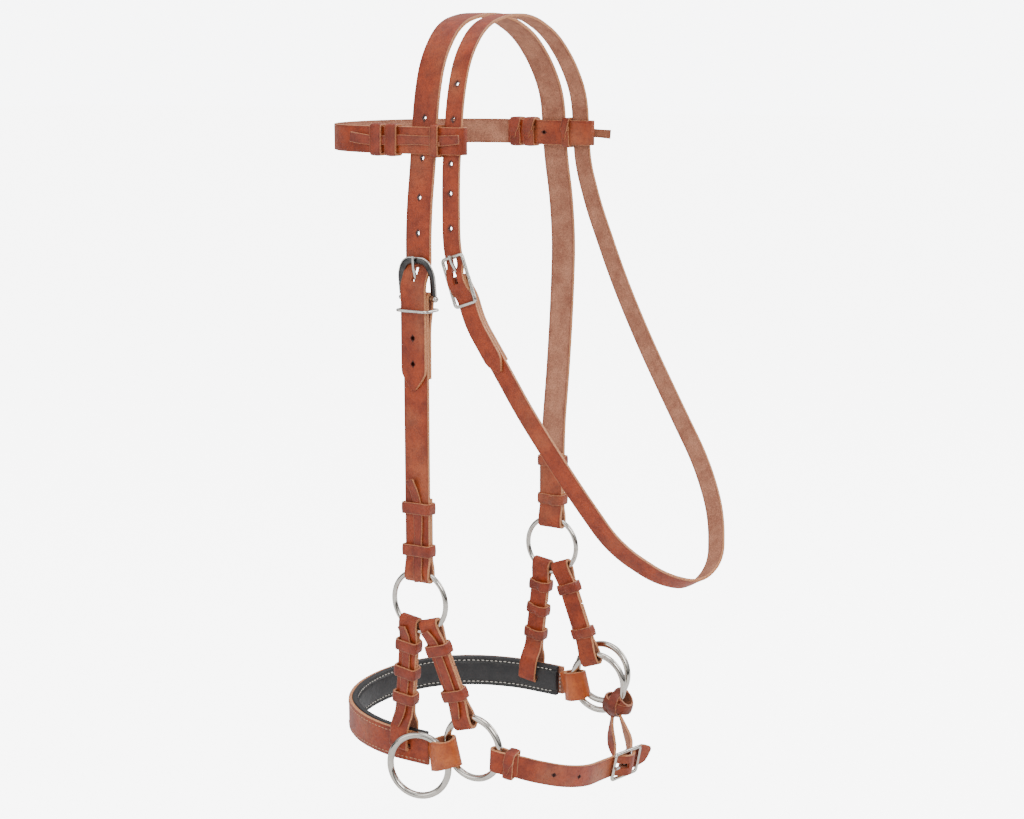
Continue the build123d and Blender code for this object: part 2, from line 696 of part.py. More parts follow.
def cheek_buckle_tongue():
    points = [(2.6, 0.2), (10, 0.6), (17, 1.9), (24, 3.4), (cart_height + 0.4, 3.2)]
    return tongue(cart_plane(), (0, 0, 0), points, 3.0)


def cheek_keeper():
    """wire loop round the billet and the cheek strap"""
    low, high = heel_x - 3.6 - crown_thick / 2 - 0.9, billet_x + crown_thick / 2 + 0.9
    wide = crown_width + 3
    outer = Box(high - low + 4.8, wide + 4.8, 2.4)
    outer = fillet(outer.edges().filter_by(Axis.Z), 3)
    solid = outer - Box(high - low, wide, 4)
    return Location(((low + high) / 2, 0, heel_z - 9)) * solid


def small_buckle(plane, long, inside, wire):
    """rectangular frame with a middle bar; the plane's y runs along the strap, z out"""
    outer = RectangleRounded(inside + 2 * wire, long, 2.4) - RectangleRounded(inside, long - 2 * wire, 1.0)
    frame = extrude(plane * outer, wire / 2, both=True)
    bar = plane * Location((0, 0, middle_bar)) * Rotation(0, 90, 0) * Cylinder(1.3, inside + wire)
    return frame + bar


def small_tongue(plane, long, wire):
    reach = long / 2 + 0.2
    barrel = Rotation(0, 90, 0) * (Cylinder(2.4, 3.6) - Cylinder(1.38, 6))
    barrel = plane * Location((0, 0, middle_bar)) * barrel
    top = wire / 2 + 1.1
    points = [(-2.0, middle_bar + 0.1), (-8, 0.0), (-14, 2.3), (-reach, top + 0.35)]
    sections = []
    for i, (v, out) in enumerate(points):
        before, after = points[max(i - 1, 0)], points[min(i + 1, len(points) - 1)]
        travel = Vector(0, after[0] - before[0], after[1] - before[1]).normalized()
        place = plane * Plane(origin=(0, v, out), x_dir=(1, 0, 0), z_dir=travel)
        sections.append(place * RectangleRounded(2.2, 2.0, 0.6))
    return barrel + loft(sections, ruled=True)


throat_plane = Plane(origin=throat_frame, x_dir=throat_down.cross(Vector(1, 0, 0)), z_dir=(1, 0, 0))
chin_plane = Plane(origin=chin_frame, x_dir=chin_travel.cross(chin_face), z_dir=chin_face)


# ---------- assembly ----------

def head_pieces():
    keep("crown_strap", crown_strap())
    keep("near_cheek_strap", near_cheek_strap())
    keep("throat_strap", throat_strap())
    keep("browband", browband())
    keep("near_cheek_bands", cheek_bands(near_ring_x, 1))
    keep("off_cheek_bands", cheek_bands(off_ring_x, -1))
    keep("near_cheek_lace", cheek_lace(near_ring_x, 1))
    keep("off_cheek_lace", cheek_lace(off_ring_x, -1))
    keep("near_brow_bands", brow_bands(1))
    keep("off_brow_bands", brow_bands(-1))
    keep("near_brow_lace", brow_lace(1, 29))
    keep("off_brow_lace", brow_lace(-1, 47))


def strut_pieces():
    stack_in = nose_half - layer_gap / 2 - pad_thick - nose_slack - strut_thick / 2
    stack_out = nose_half + layer_gap / 2 + face_thick + nose_slack + strut_thick / 2
    for name, side, x in (("near", 1, near_ring_x), ("off", -1, off_ring_x)):
        slit_place = (side * nose_half, slit_y, slit_z)
        low, high = sorted((side * (stack_in - nose_half), side * (stack_out - nose_half)))
        spread = 30
        solid, plane, length, route = strut(x, -strut_turn, slit_place, low, high, spread)
        for centre, normal in lower_rings(side):
            solid -= ring(centre, normal, lower_mid, lower_wire + 2 * run_gap)
        keep(name + "_front_strut", solid)
        keep(name + "_front_strut_bands", strut_bands(plane, length, route, (24, 47, 70), side, spread))
        keep(name + "_front_strut_lace", strut_lace(plane, length, route, side, spread))
        centre, normal = lower_rings(side)[1]
        depth = ring_bore / 2 - ring_dip - strut_thick / 2
        turn = radians(20)
        spread = 20
        bottom = (centre[0], centre[1] - depth * sin(turn), centre[2] + depth * cos(turn))
        half = lower_wire / 2 + run_gap + strut_thick / 2
        solid, plane, length, route = strut(x, strut_turn, bottom, -half, half, spread)
        solid -= ring(centre, normal, lower_mid, lower_wire + 2 * run_gap)
        keep(name + "_rear_strut", solid)
        keep(name + "_rear_strut_bands", strut_bands(plane, length, route, (24, length - 29), side, spread))
        keep(name + "_rear_strut_lace", strut_lace(plane, length, route, side, spread))


def nose_pieces():
    keep("noseband_face", noseband_face())
    keep("noseband_padding", noseband_padding())
    keep("chin_strap", chin_strap())
    keep("chin_chape", chin_chape())
    keep("chin_tail", chin_tail())
    keep("chin_knot", chin_knot())
    keep("chin_keeper", chin_keeper())


def metal_pieces():
    keep("near_upper_ring", ring((near_ring_x, 0, upper_ring_z), (1, 0, 0), upper_mid, upper_wire))
    keep("off_upper_ring", ring((off_ring_x, 0, upper_ring_z), (1, 0, 0), upper_mid, upper_wire))
    for name, side in (("near", 1), ("off", -1)):
        for kind, (centre, normal) in zip(("rein", "connecting"), lower_rings(side)):
            keep(name + "_" + kind + "_ring", ring(centre, normal, lower_mid, lower_wire))
    keep("cheek_buckle_frame", cheek_buckle_frame())
    keep("cheek_buckle_bar", cheek_buckle_bar())
    keep("cheek_buckle_tongue", cheek_buckle_tongue())
    keep("cheek_keeper", cheek_keeper())
    keep("throat_buckle_frame", small_buckle(throat_plane, throat_buckle_long, throat_width + 1, small_wire))
    keep("throat_buckle_tongue", small_tongue(throat_plane, throat_buckle_long, small_wire))
    keep("chin_buckle_frame", small_buckle(chin_plane, chin_buckle_long, chin_width + 1.4, chin_wire))
    keep("chin_buckle_tongue", small_tongue(chin_plane, chin_buckle_long, chin_wire))


head_pieces()
strut_pieces()
nose_pieces()
metal_pieces()

os.makedirs("parts", exist_ok=True)
for name, solid in parts.items():
    export_step(solid, "parts/" + name + ".step")
print(len(parts), "pieces")
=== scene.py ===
import bpy
import bmesh
import random
from bisect import bisect_right
from math import acos, cos, degrees, pi, radians, sin, sqrt, tan
from mathutils import Matrix, Vector


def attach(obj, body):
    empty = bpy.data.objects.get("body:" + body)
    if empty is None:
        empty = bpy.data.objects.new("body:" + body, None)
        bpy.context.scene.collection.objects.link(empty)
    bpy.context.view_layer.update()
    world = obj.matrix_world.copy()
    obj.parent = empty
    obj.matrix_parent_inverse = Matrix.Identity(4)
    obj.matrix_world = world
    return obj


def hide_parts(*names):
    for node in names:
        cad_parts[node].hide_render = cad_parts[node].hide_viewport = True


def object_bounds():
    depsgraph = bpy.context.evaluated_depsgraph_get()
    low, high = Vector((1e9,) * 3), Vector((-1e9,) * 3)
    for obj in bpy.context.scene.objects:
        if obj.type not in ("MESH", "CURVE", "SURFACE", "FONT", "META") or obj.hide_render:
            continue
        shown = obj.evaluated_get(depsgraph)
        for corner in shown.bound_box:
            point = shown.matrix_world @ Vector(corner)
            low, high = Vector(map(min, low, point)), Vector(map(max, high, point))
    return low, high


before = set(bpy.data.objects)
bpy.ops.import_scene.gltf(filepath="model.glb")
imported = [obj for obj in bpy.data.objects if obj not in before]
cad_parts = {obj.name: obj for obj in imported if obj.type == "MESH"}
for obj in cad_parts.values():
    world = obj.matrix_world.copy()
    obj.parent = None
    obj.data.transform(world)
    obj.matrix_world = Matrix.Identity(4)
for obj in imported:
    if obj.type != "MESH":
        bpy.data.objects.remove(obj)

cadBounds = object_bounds()
dice = random.Random(7)
mm = 0.001

# the bridle's shared sizes, in mm; the poll is the origin, the nose points to -Y, near side +X
leather = {
    "crownWide": 22.2, "crownThick": 3.0,
    "throatWide": 15.0, "throatThick": 2.5,
    "browWide": 20.5, "browThick": 2.5,
    "strutWide": 16.5, "strutThick": 2.6,
    "noseWide": 25.4, "faceThick": 3.0, "padThick": 5.0,
    "chinWide": 18.0, "chinThick": 2.6,
    "laceWide": 7.5, "laceThick": 1.5,
    "bandWide": 9.0, "bandThick": 1.6,
    "gap": 0.2, "slack": 0.35}
rings = {
    "bore": 44.5, "upperWire": 4.2, "lowerWire": 5.5,
    "nearX": 108.0, "offX": -95.0, "upperZ": -450.0,
    "nearRein": ((107.6, -2.5, -587.0), (1, 0.22, 0.05)),
    "nearJoin": ((96.0, 41.5, -567.0), (1, 0, 0)),
    "offRein": ((-104.8, 46.5, -561.5), (1, 0, 0.14)),
    "offJoin": ((-95.6, 47.5, -568.0), (1, 0, 0))}
upperMid = (rings["bore"] + rings["upperWire"]) / 2
lowerMid = (rings["bore"] + rings["lowerWire"]) / 2
noseZ = -575.0
noseHalf = 100.0
browHalf = 96.5
browZ = -91.0
throatY = 26.0


def clearSelection():
    if bpy.context.object and bpy.context.object.mode != 'OBJECT':
        bpy.ops.object.mode_set(mode='OBJECT')
    bpy.ops.object.select_all(action='DESELECT')


def applyAll(piece):
    clearSelection()
    bpy.context.view_layer.objects.active = piece
    piece.select_set(True)
    for modifier in list(piece.modifiers):
        bpy.ops.object.modifier_apply(modifier=modifier.name)


def place(piece, body, nodes=(), material=None, smooth=35):
    if material:
        piece.data.materials.clear()
        piece.data.materials.append(material)
    clearSelection()
    bpy.context.view_layer.objects.active = piece
    piece.select_set(True)
    bpy.ops.object.shade_smooth_by_angle(angle=radians(smooth))
    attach(piece, body)
    if nodes:
        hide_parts(*nodes)
    return piece


class Route:
    pass


def makeRoute(points, across, small={}, step=9, run=4.0):
    # straight runs joined by round bends; across is one direction or one per point
    pts = [Vector(p) for p in points]
    oneEach = isinstance(across[0], (tuple, list, Vector))
    wide = [Vector(a) for a in across] if oneEach else [Vector(across)] * len(pts)
    samples = [(pts[0], wide[0])]

    def addRun(target, targetWide):
        start, startWide = samples[-1]
        count = max(1, int((target - start).length / run))
        for k in range(1, count + 1):
            samples.append((start.lerp(target, k / count), startWide.lerp(targetWide, k / count)))

    for i in range(1, len(pts) - 1):
        back, ahead = pts[i - 1] - pts[i], pts[i + 1] - pts[i]
        l1, l2 = back.length, ahead.length
        back.normalize()
        ahead.normalize()
        turn = acos(max(-1, min(1, -back.dot(ahead))))
        if turn < 0.02:
            addRun(pts[i], wide[i])
            continue
        radius = small.get(i, 0.47 * min(l1, l2) / tan(turn / 2))
        reach = radius * tan(turn / 2)
        centre = pts[i] + (back + ahead).normalized() * (radius / cos(turn / 2))
        first = pts[i] + back * reach
        addRun(first, wide[i].lerp(wide[i - 1], min(1, reach / l1)))
        spoke = first - centre
        count = max(2, round(degrees(turn) / step), round(turn * radius / run))
        startWide = samples[-1][1]
        endWide = wide[i].lerp(wide[i + 1], min(1, reach / l2))
        for k in range(1, count + 1):
            angle = turn * k / count
            here = centre + spoke * cos(angle) - back * (spoke.length * sin(angle))
            samples.append((here, startWide.lerp(endWide, k / count)))
    addRun(pts[-1], wide[-1])
    route = Route()
    route.at, route.wide = [], []
    for here, across in samples:
        if route.at and (here - route.at[-1]).length < 0.05:
            continue
        route.at.append(here)
        route.wide.append(across)
    route.far = [0.0]
    for a, b in zip(route.at, route.at[1:]):
        route.far.append(route.far[-1] + (b - a).length)
    route.travel = []
    last = len(route.at) - 1
    for i in range(last + 1):
        a, b = route.at[max(i - 1, 0)], route.at[min(i + 1, last)]
        route.travel.append((b - a).normalized())
    if (route.at[0] - route.at[last]).length < 0.1:
        joined = (route.at[1] - route.at[last - 1]).normalized()
        route.travel[0] = route.travel[last] = joined
    route.length = route.far[-1]
    return route


def routeAt(route, far):
    far = max(0.0, min(route.length, far))
    i = min(bisect_right(route.far, far) - 1, len(route.at) - 2)
    part = (far - route.far[i]) / max(1e-9, route.far[i + 1] - route.far[i])
    travel = route.travel[i].lerp(route.travel[i + 1], part).normalized()
    wide = route.wide[i].lerp(route.wide[i + 1], part)
    wide = (wide - travel * wide.dot(travel)).normalized()
    return route.at[i].lerp(route.at[i + 1], part), travel, wide


def farOf(route, point, low=0.0, high=1.0):
    # how far along the route the place nearest to a point is
    best = (1e9, 0)
    for i, here in enumerate(route.at):
        share = route.far[i] / route.length
        if low <= share <= high:
            best = min(best, ((here - Vector(point)).length, route.far[i]))
    return best[1]


def cutStrap(name, route, width, thick, tips=(0, 0), holes=(), slots=(), cuts=8, edge=0.55,
             narrow=None):
    # a strap is cut flat and punched first, then laid along its route
    clearSelection()
    count = len(route.far) - 1
    bpy.ops.mesh.primitive_grid_add(x_subdivisions=count, y_subdivisions=cuts, size=1)
    piece = bpy.context.object
    piece.name = name
    half = width / 2

    def localHalf(far):
        room = half
        for tip, reach in zip(tips, (far, route.length - far)):
            if tip and reach < tip:
                share = max(reach, 0) / tip
                room = min(room, half * (0.16 + 0.84 * share ** 0.8))
        if narrow:
            room *= narrow(far)
        return room

    for vert in piece.data.vertices:
        i = round((vert.co.x + 0.5) * count)
        far = route.far[i]
        room = localHalf(far)
        vert.co = (far, vert.co.y * 2 * room, 0)
    solidify = piece.modifiers.new("thickness", 'SOLIDIFY')
    solidify.thickness = thick
    solidify.offset = 0
    bevel = piece.modifiers.new("edge", 'BEVEL')
    bevel.width = edge
    bevel.segments = 2
    bevel.limit_method = 'ANGLE'
    bevel.angle_limit = radians(50)
    applyAll(piece)
    for far, size in holes:
        bpy.ops.mesh.primitive_cylinder_add(vertices=20, radius=size / 2, depth=thick * 4,
                                            location=(far, 0, 0))
        punch(piece, bpy.context.object)
    for far, length, size in slots:
        bpy.ops.mesh.primitive_cube_add(size=1, location=(far, 0, 0),
                                        scale=(length, size, thick * 4))
        punch(piece, bpy.context.object)
    layers = piece.data.uv_layers
    flat = layers[0] if layers else layers.new(name="flat")
    flat.name = "flat"
    side = piece.data.attributes.new("side", 'FLOAT', 'POINT')
    rim = piece.data.attributes.new("rim", 'FLOAT', 'POINT')
    # hole mask: where painted shade goes, within 0.9 mm of each punched hole
    holeShade = piece.data.attributes.new("holeShade", 'FLOAT', 'POINT')
    for vert in piece.data.vertices:
        room = localHalf(vert.co.x)
        side.data[vert.index].value = vert.co.z / (thick / 2)
        toEdge = min(room - abs(vert.co.y), vert.co.x + 0.3, route.length - vert.co.x + 0.3)
        rim.data[vert.index].value = max(0.0, 1.0 - toEdge / 1.3)
        toHole = min([sqrt((vert.co.x - far) ** 2 + vert.co.y ** 2) - size / 2
                      for far, size in holes] + [9.0])
        holeShade.data[vert.index].value = max(0.0, 1.0 - abs(toHole) / 0.9)
    for loop in piece.data.loops:
        spot = piece.data.vertices[loop.vertex_index].co
        flat.data[loop.index].uv = (spot.x * mm, spot.y * mm)
    return piece


def punch(piece, cutter):
    cut = piece.modifiers.new("punch", 'BOOLEAN')
    cut.operation = 'DIFFERENCE'
    cut.solver = 'EXACT'
    cut.object = cutter
    applyAll(piece)
    bpy.data.objects.remove(cutter, do_unlink=True)
    clearSelection()


def layStrap(piece, route, flip=False, lift=0.0, shape=None):
    # flip puts the grain side on the other face
    turn = -1 if flip else 1
    for vert in piece.data.vertices:
        far, over, out = vert.co
        here, travel, wide = routeAt(route, far)
        normal = travel.cross(wide) * turn
        if shape:
            over, out = shape(far, over, out)
        spot = here + wide * over + normal * (out + lift)
        vert.co = spot * mm
    clearSelection()
    bpy.context.view_layer.objects.active = piece
    piece.select_set(True)
    bpy.ops.object.mode_set(mode='EDIT')
    bpy.ops.mesh.select_all(action='SELECT')
    bpy.ops.mesh.normals_make_consistent(inside=False)
    bpy.ops.object.mode_set(mode='OBJECT')
    return piece


def strapPiece(name, route, width, thick, flip=False, lift=0.0, shape=None, **cut):
    return layStrap(cutStrap(name, route, width, thick, **cut), route, flip, lift, shape)


def layTube(name, route, radius, closed=True, around=14, squash=1.0):
    # circles of points set along a route and joined, as a closed ring or a capped rod
    clearSelection()
    count = len(route.at) - (1 if closed else 0)
    mesh = bpy.data.meshes.new(name)
    shape = bmesh.new()
    loops = []
    for i in range(count):
        here, travel, wide = routeAt(route, route.far[i])
        normal = travel.cross(wide)
        turns = [2 * pi * k / around for k in range(around)]
        loops.append([shape.verts.new((here + wide * (cos(turn) * radius)
                                       + normal * (sin(turn) * radius * squash)) * mm)
                      for turn in turns])
    for a, b in zip(loops, loops[1:] + loops[:1] if closed else loops[1:]):
        for k in range(around):
            shape.faces.new((a[k], a[(k + 1) % around], b[(k + 1) % around], b[k]))
    if not closed:
        shape.faces.new(loops[0])
        shape.faces.new(loops[-1][::-1])
    bmesh.ops.recalc_face_normals(shape, faces=shape.faces)
    shape.to_mesh(mesh)
    shape.free()
    piece = bpy.data.objects.new(name, mesh)
    bpy.context.scene.collection.objects.link(piece)
    return piece


def torusPiece(name, centre, axis, mid, wire):
    clearSelection()
    turn = Vector((0, 0, 1)).rotation_difference(Vector(axis).normalized())
    bpy.ops.mesh.primitive_torus_add(major_segments=144, minor_segments=24,
                                     major_radius=mid * mm, minor_radius=wire / 2 * mm)
    piece = bpy.context.object
    piece.name = name
    piece.data.transform(Matrix.Translation(Vector(centre) * mm) @ turn.to_matrix().to_4x4())
    return piece


def joinPieces(pieces, name):
    clearSelection()
    for piece in pieces:
        piece.select_set(True)
    bpy.context.view_layer.objects.active = pieces[0]
    if len(pieces) > 1:
        bpy.ops.object.join()
    pieces[0].name = name
    return pieces[0]


def newMaterial(name):
    material = bpy.data.materials.new(name)
    material.use_nodes = True
    tree = material.node_tree
    return material, tree, tree.nodes["Principled BSDF"]


def addNode(tree, kind, **values):
    node = tree.nodes.new(kind)
    for key, value in values.items():
        if key in node.inputs:
            node.inputs[key].default_value = value
        else:
            setattr(node, key, value)
    return node


def mixColor(tree, factor, first, second, blend='MIX'):
    node = tree.nodes.new('ShaderNodeMix')
    node.data_type = 'RGBA'
    node.blend_type = blend
    if isinstance(factor, float):
        node.inputs[0].default_value = factor
    else:
        tree.links.new(factor, node.inputs[0])
    for socket, value in ((node.inputs[6], first), (node.inputs[7], second)):
        if isinstance(value, tuple):
            socket.default_value = value + (1,)
        else:
            tree.links.new(value, socket)
    return node.outputs[2]


def rampOf(tree, value, low, high, first=0.0, second=1.0):
    node = tree.nodes.new('ShaderNodeMapRange')
    node.inputs[1].default_value = low
    node.inputs[2].default_value = high
    node.inputs[3].default_value = first
    node.inputs[4].default_value = second
    tree.links.new(value, node.inputs[0])
    return node.outputs[0]


def noiseOf(tree, source, **values):
    node = addNode(tree, 'ShaderNodeTexNoise', **values)
    tree.links.new(source, node.inputs["Vector"])
    return node.outputs[0]


def cellsOf(tree, source, scale):
    node = addNode(tree, 'ShaderNodeTexVoronoi', Scale=scale)
    tree.links.new(source, node.inputs["Vector"])
    return node.outputs["Distance"]


def mathOf(tree, operation, first, second):
    node = addNode(tree, 'ShaderNodeMath', operation=operation)
    tree.links.new(first, node.inputs[0])
    tree.links.new(second, node.inputs[1])
    return node.outputs[0]


def reliefOf(tree, height, strength, distance, under=None):
    # a bump, laid over another where one is given
    node = addNode(tree, 'ShaderNodeBump', Distance=distance)
    if isinstance(strength, float):
        node.inputs["Strength"].default_value = strength
    else:
        tree.links.new(strength, node.inputs["Strength"])
    tree.links.new(height, node.inputs["Height"])
    if under:
        tree.links.new(under, node.inputs["Normal"])
    return node.outputs[0]


def objectSpot(tree):
    return addNode(tree, 'ShaderNodeTexCoord').outputs["Object"]


def attributeOf(tree, name):
    return addNode(tree, 'ShaderNodeAttribute', attribute_name=name).outputs["Fac"]


leatherGrain = {
    "pores": 950.0, "wrinkles": 340.0, "patches": 75.0, "blotches": 17.0, "fibres": 1100.0,
    "mottle": 0.75, "bump": 0.00035, "fleshRough": 0.88, "shine": 0.4}


def leatherFinish(name, grain, dark, pale, flesh, rough=0.44):
    # grain outside, fibrous flesh side within, a cut edge with a broken pale line of fibres, and painted
    # shade, near black, at and in each punched hole
    material, tree, shader = newMaterial(name)
    link = tree.links.new
    where = addNode(tree, 'ShaderNodeUVMap', uv_map="flat").outputs[0]
    spot = objectSpot(tree)
    side, rim, holeShade = [attributeOf(tree, key) for key in ("side", "rim", "holeShade")]
    deep = leatherGrain["bump"]
    patches = noiseOf(tree, spot, Scale=leatherGrain["patches"], Detail=6.0, Roughness=0.65)
    blotch = noiseOf(tree, spot, Scale=leatherGrain["blotches"], Detail=3.0)
    pores = cellsOf(tree, where, leatherGrain["pores"])
    wrinkle = noiseOf(tree, where, Scale=leatherGrain["wrinkles"], Detail=6.0, Roughness=0.7,
                      Distortion=0.5)
    fibre = noiseOf(tree, spot, Scale=leatherGrain["fibres"], Detail=6.0, Roughness=0.8)
    mottled = rampOf(tree, patches, 0.40, 0.66, 0.0, leatherGrain["mottle"])
    base = mixColor(tree, mottled, grain, dark)
    base = mixColor(tree, rampOf(tree, blotch, 0.50, 0.72, 0.0, 0.22), base, pale)
    base = mixColor(tree, rampOf(tree, wrinkle, 0.50, 0.68, 0.0, 0.45), base, dark)
    base = mixColor(tree, rampOf(tree, pores, 0.0, 0.32, 0.35, 0.0), base, dark)
    under = mixColor(tree, rampOf(tree, fibre, 0.40, 0.60, 0.0, 0.9), flesh,
                     tuple(c * 0.45 for c in flesh))
    under = mixColor(tree, rampOf(tree, patches, 0.35, 0.65, 0.0, 0.45), under, dark)
    whichSide = rampOf(tree, side, -0.75, -0.2)
    both = mixColor(tree, whichSide, under, base)
    shaded = mixColor(tree, rampOf(tree, rim, 0.0, 0.55, 0.0, 0.35), both, dark)
    frayed = mathOf(tree, 'MULTIPLY', rampOf(tree, rim, 0.62, 0.92),
                    rampOf(tree, fibre, 0.36, 0.58, 0.12, 0.95))
    worn = mixColor(tree, frayed, shaded, pale)
    # painted shade: near-black darkening at and in each punched hole
    final = mixColor(tree, rampOf(tree, holeShade, 0.1, 0.7, 0.0, 0.9), worn,
                     tuple(c * 0.25 for c in dark))
    link(final, shader.inputs["Base Color"])
    roughMix = addNode(tree, 'ShaderNodeMix')
    link(whichSide, roughMix.inputs[0])
    roughMix.inputs[2].default_value = leatherGrain["fleshRough"]
    link(rampOf(tree, wrinkle, 0.3, 0.7, rough - 0.07, rough + 0.14), roughMix.inputs[3])
    link(roughMix.outputs[0], shader.inputs["Roughness"])
    creased = reliefOf(tree, wrinkle, 0.5, deep)
    pored = reliefOf(tree, pores, 0.35, deep * 0.8, creased)
    hairy = reliefOf(tree, fibre, rampOf(tree, side, -0.75, -0.2, 0.7, 0.0), deep * 1.6, pored)
    link(hairy, shader.inputs["Normal"])
    shader.inputs["Specular IOR Level"].default_value = leatherGrain["shine"]
    return material


def metalFinish(name, color, tarnish, rough, scratch=0.08):
    material, tree, shader = newMaterial(name)
    link = tree.links.new
    spot = objectSpot(tree)
    cloud = noiseOf(tree, spot, Scale=110.0, Detail=6.0, Roughness=0.65)
    hair = noiseOf(tree, spot, Scale=900.0, Detail=3.0, Distortion=2.0)
    link(mixColor(tree, rampOf(tree, cloud, 0.42, 0.72, 0.0, 0.75), color, tarnish),
         shader.inputs["Base Color"])
    link(mathOf(tree, 'ADD', rampOf(tree, cloud, 0.3, 0.7, rough, rough + 0.14),
                rampOf(tree, hair, 0.55, 0.8, 0.0, scratch)), shader.inputs["Roughness"])
    link(reliefOf(tree, hair, 0.04, 0.00005), shader.inputs["Normal"])
    shader.inputs["Metallic"].default_value = 1.0
    return material


def liningFinish(name):
    material, tree, shader = newMaterial(name)
    link = tree.links.new
    spot = objectSpot(tree)
    grain = cellsOf(tree, spot, 620.0)
    cloud = noiseOf(tree, spot, Scale=90.0, Detail=5.0)
    link(mixColor(tree, rampOf(tree, cloud, 0.35, 0.7), (0.010, 0.010, 0.011),
                  (0.028, 0.026, 0.026)), shader.inputs["Base Color"])
    link(rampOf(tree, cloud, 0.3, 0.7, 0.42, 0.62), shader.inputs["Roughness"])
    grained = reliefOf(tree, grain, 0.4, 0.0004)
    link(reliefOf(tree, cloud, 0.5, 0.0012, grained), shader.inputs["Normal"])
    return material


def threadFinish(name, color):
    material, tree, shader = newMaterial(name)
    link = tree.links.new
    twist = noiseOf(tree, objectSpot(tree), Scale=2600.0, Detail=2.0)
    link(mixColor(tree, rampOf(tree, twist, 0.35, 0.7), color, tuple(c * 0.6 for c in color)),
         shader.inputs["Base Color"])
    link(reliefOf(tree, twist, 0.5, 0.0003), shader.inputs["Normal"])
    shader.inputs["Roughness"].default_value = 0.7
    return material


tanLeather = leatherFinish("tanLeather", (0.33, 0.045, 0.008), (0.125, 0.013, 0.004),
                           (0.68, 0.31, 0.14), (0.62, 0.27, 0.16))
bandLeather = leatherFinish("bandLeather", (0.27, 0.038, 0.012), (0.10, 0.012, 0.005),
                            (0.62, 0.26, 0.12), (0.50, 0.19, 0.10), rough=0.40)
# a lighter, more orange copy of the tan leather for the noseband end loops: a painted highlight where
# their bends face the light
paintedLitLoopLeather = leatherFinish("paintedLitLoopLeather", (0.48, 0.105, 0.020), (0.27, 0.040, 0.009),
                            (0.66, 0.32, 0.14), (0.50, 0.19, 0.10), rough=0.36)
darkLace = leatherFinish("darkLace", (0.20, 0.026, 0.009), (0.07, 0.009, 0.004),
                         (0.50, 0.19, 0.085), (0.36, 0.12, 0.06), rough=0.38)
blackLining = liningFinish("blackLining")
whiteThread = threadFinish("whiteThread", (0.72, 0.69, 0.62))
tanThread = threadFinish("tanThread", (0.62, 0.34, 0.20))
nickel = metalFinish("nickel", (0.62, 0.585, 0.53), (0.42, 0.385, 0.33), 0.07, scratch=0.04)
wornNickel = metalFinish("wornNickel", (0.62, 0.60, 0.56), (0.40, 0.37, 0.33), 0.15, scratch=0.1)
darkSteel = metalFinish("darkSteel", (0.085, 0.083, 0.082), (0.03, 0.029, 0.028), 0.28, scratch=0.15)
print("finishes made")


def grainFlip(route, outward, far):
    here, travel, wide = routeAt(route, far)
    return travel.cross(wide).dot(Vector(outward)) < 0


def stitchRow(name, route, over, out, flip, spacing=4.2, long=3.1, thick=0.75, start=0.0,
              end=None, material=None):
    # one small rounded stitch, copied along the row
    clearSelection()
    bpy.ops.mesh.primitive_uv_sphere_add(segments=6, ring_count=4, radius=0.5)
    seed = bpy.context.object
    verts = [v.co.copy() for v in seed.data.vertices]
    faces = [tuple(p.vertices) for p in seed.data.polygons]
    bpy.data.objects.remove(seed, do_unlink=True)
    allVerts, allFaces = [], []
    far = start + spacing / 2
    end = route.length if end is None else end
    while far < end - spacing / 2:
        here, travel, wide = routeAt(route, far)
        normal = travel.cross(wide) * (-1 if flip else 1)
        slant = dice.uniform(-0.06, 0.06)
        base = here + wide * (over + dice.uniform(-0.12, 0.12)) + normal * out
        along = (travel + wide * slant).normalized()
        offset = len(allVerts)
        for co in verts:
            allVerts.append((base + along * (co.z * long) + wide * (co.x * thick)
                             + normal * (co.y * thick)) * mm)
        allFaces.extend(tuple(i + offset for i in face) for face in faces)
        far += spacing * dice.uniform(0.97, 1.03)
    mesh = bpy.data.meshes.new(name)
    mesh.from_pydata([tuple(v) for v in allVerts], [], allFaces)
    mesh.update()
    piece = bpy.data.objects.new(name, mesh)
    bpy.context.scene.collection.objects.link(piece)
    piece.data.materials.append(material or whiteThread)
    return piece


def laceWave():
    # hand-cut lace: its width and its line wander a little
    first, second = dice.uniform(0, 6), dice.uniform(0, 6)

    def wave(far, over, out):
        return over * (1 + 0.07 * sin(far * 0.17 + first)) + 0.35 * sin(far * 0.08 + second), out
    return wave


def layLace(name, route, outward, body, node):
    lace = strapPiece(name, route, leather["laceWide"], leather["laceThick"],
                      grainFlip(route, outward, 30), edge=0.35, cuts=4, shape=laceWave())
    place(lace, body, [node], bandLeather)


def bell(gap, reach):
    # 1 in the middle, falling away on both sides
    return 2.72 ** (-(gap / reach) ** 2)


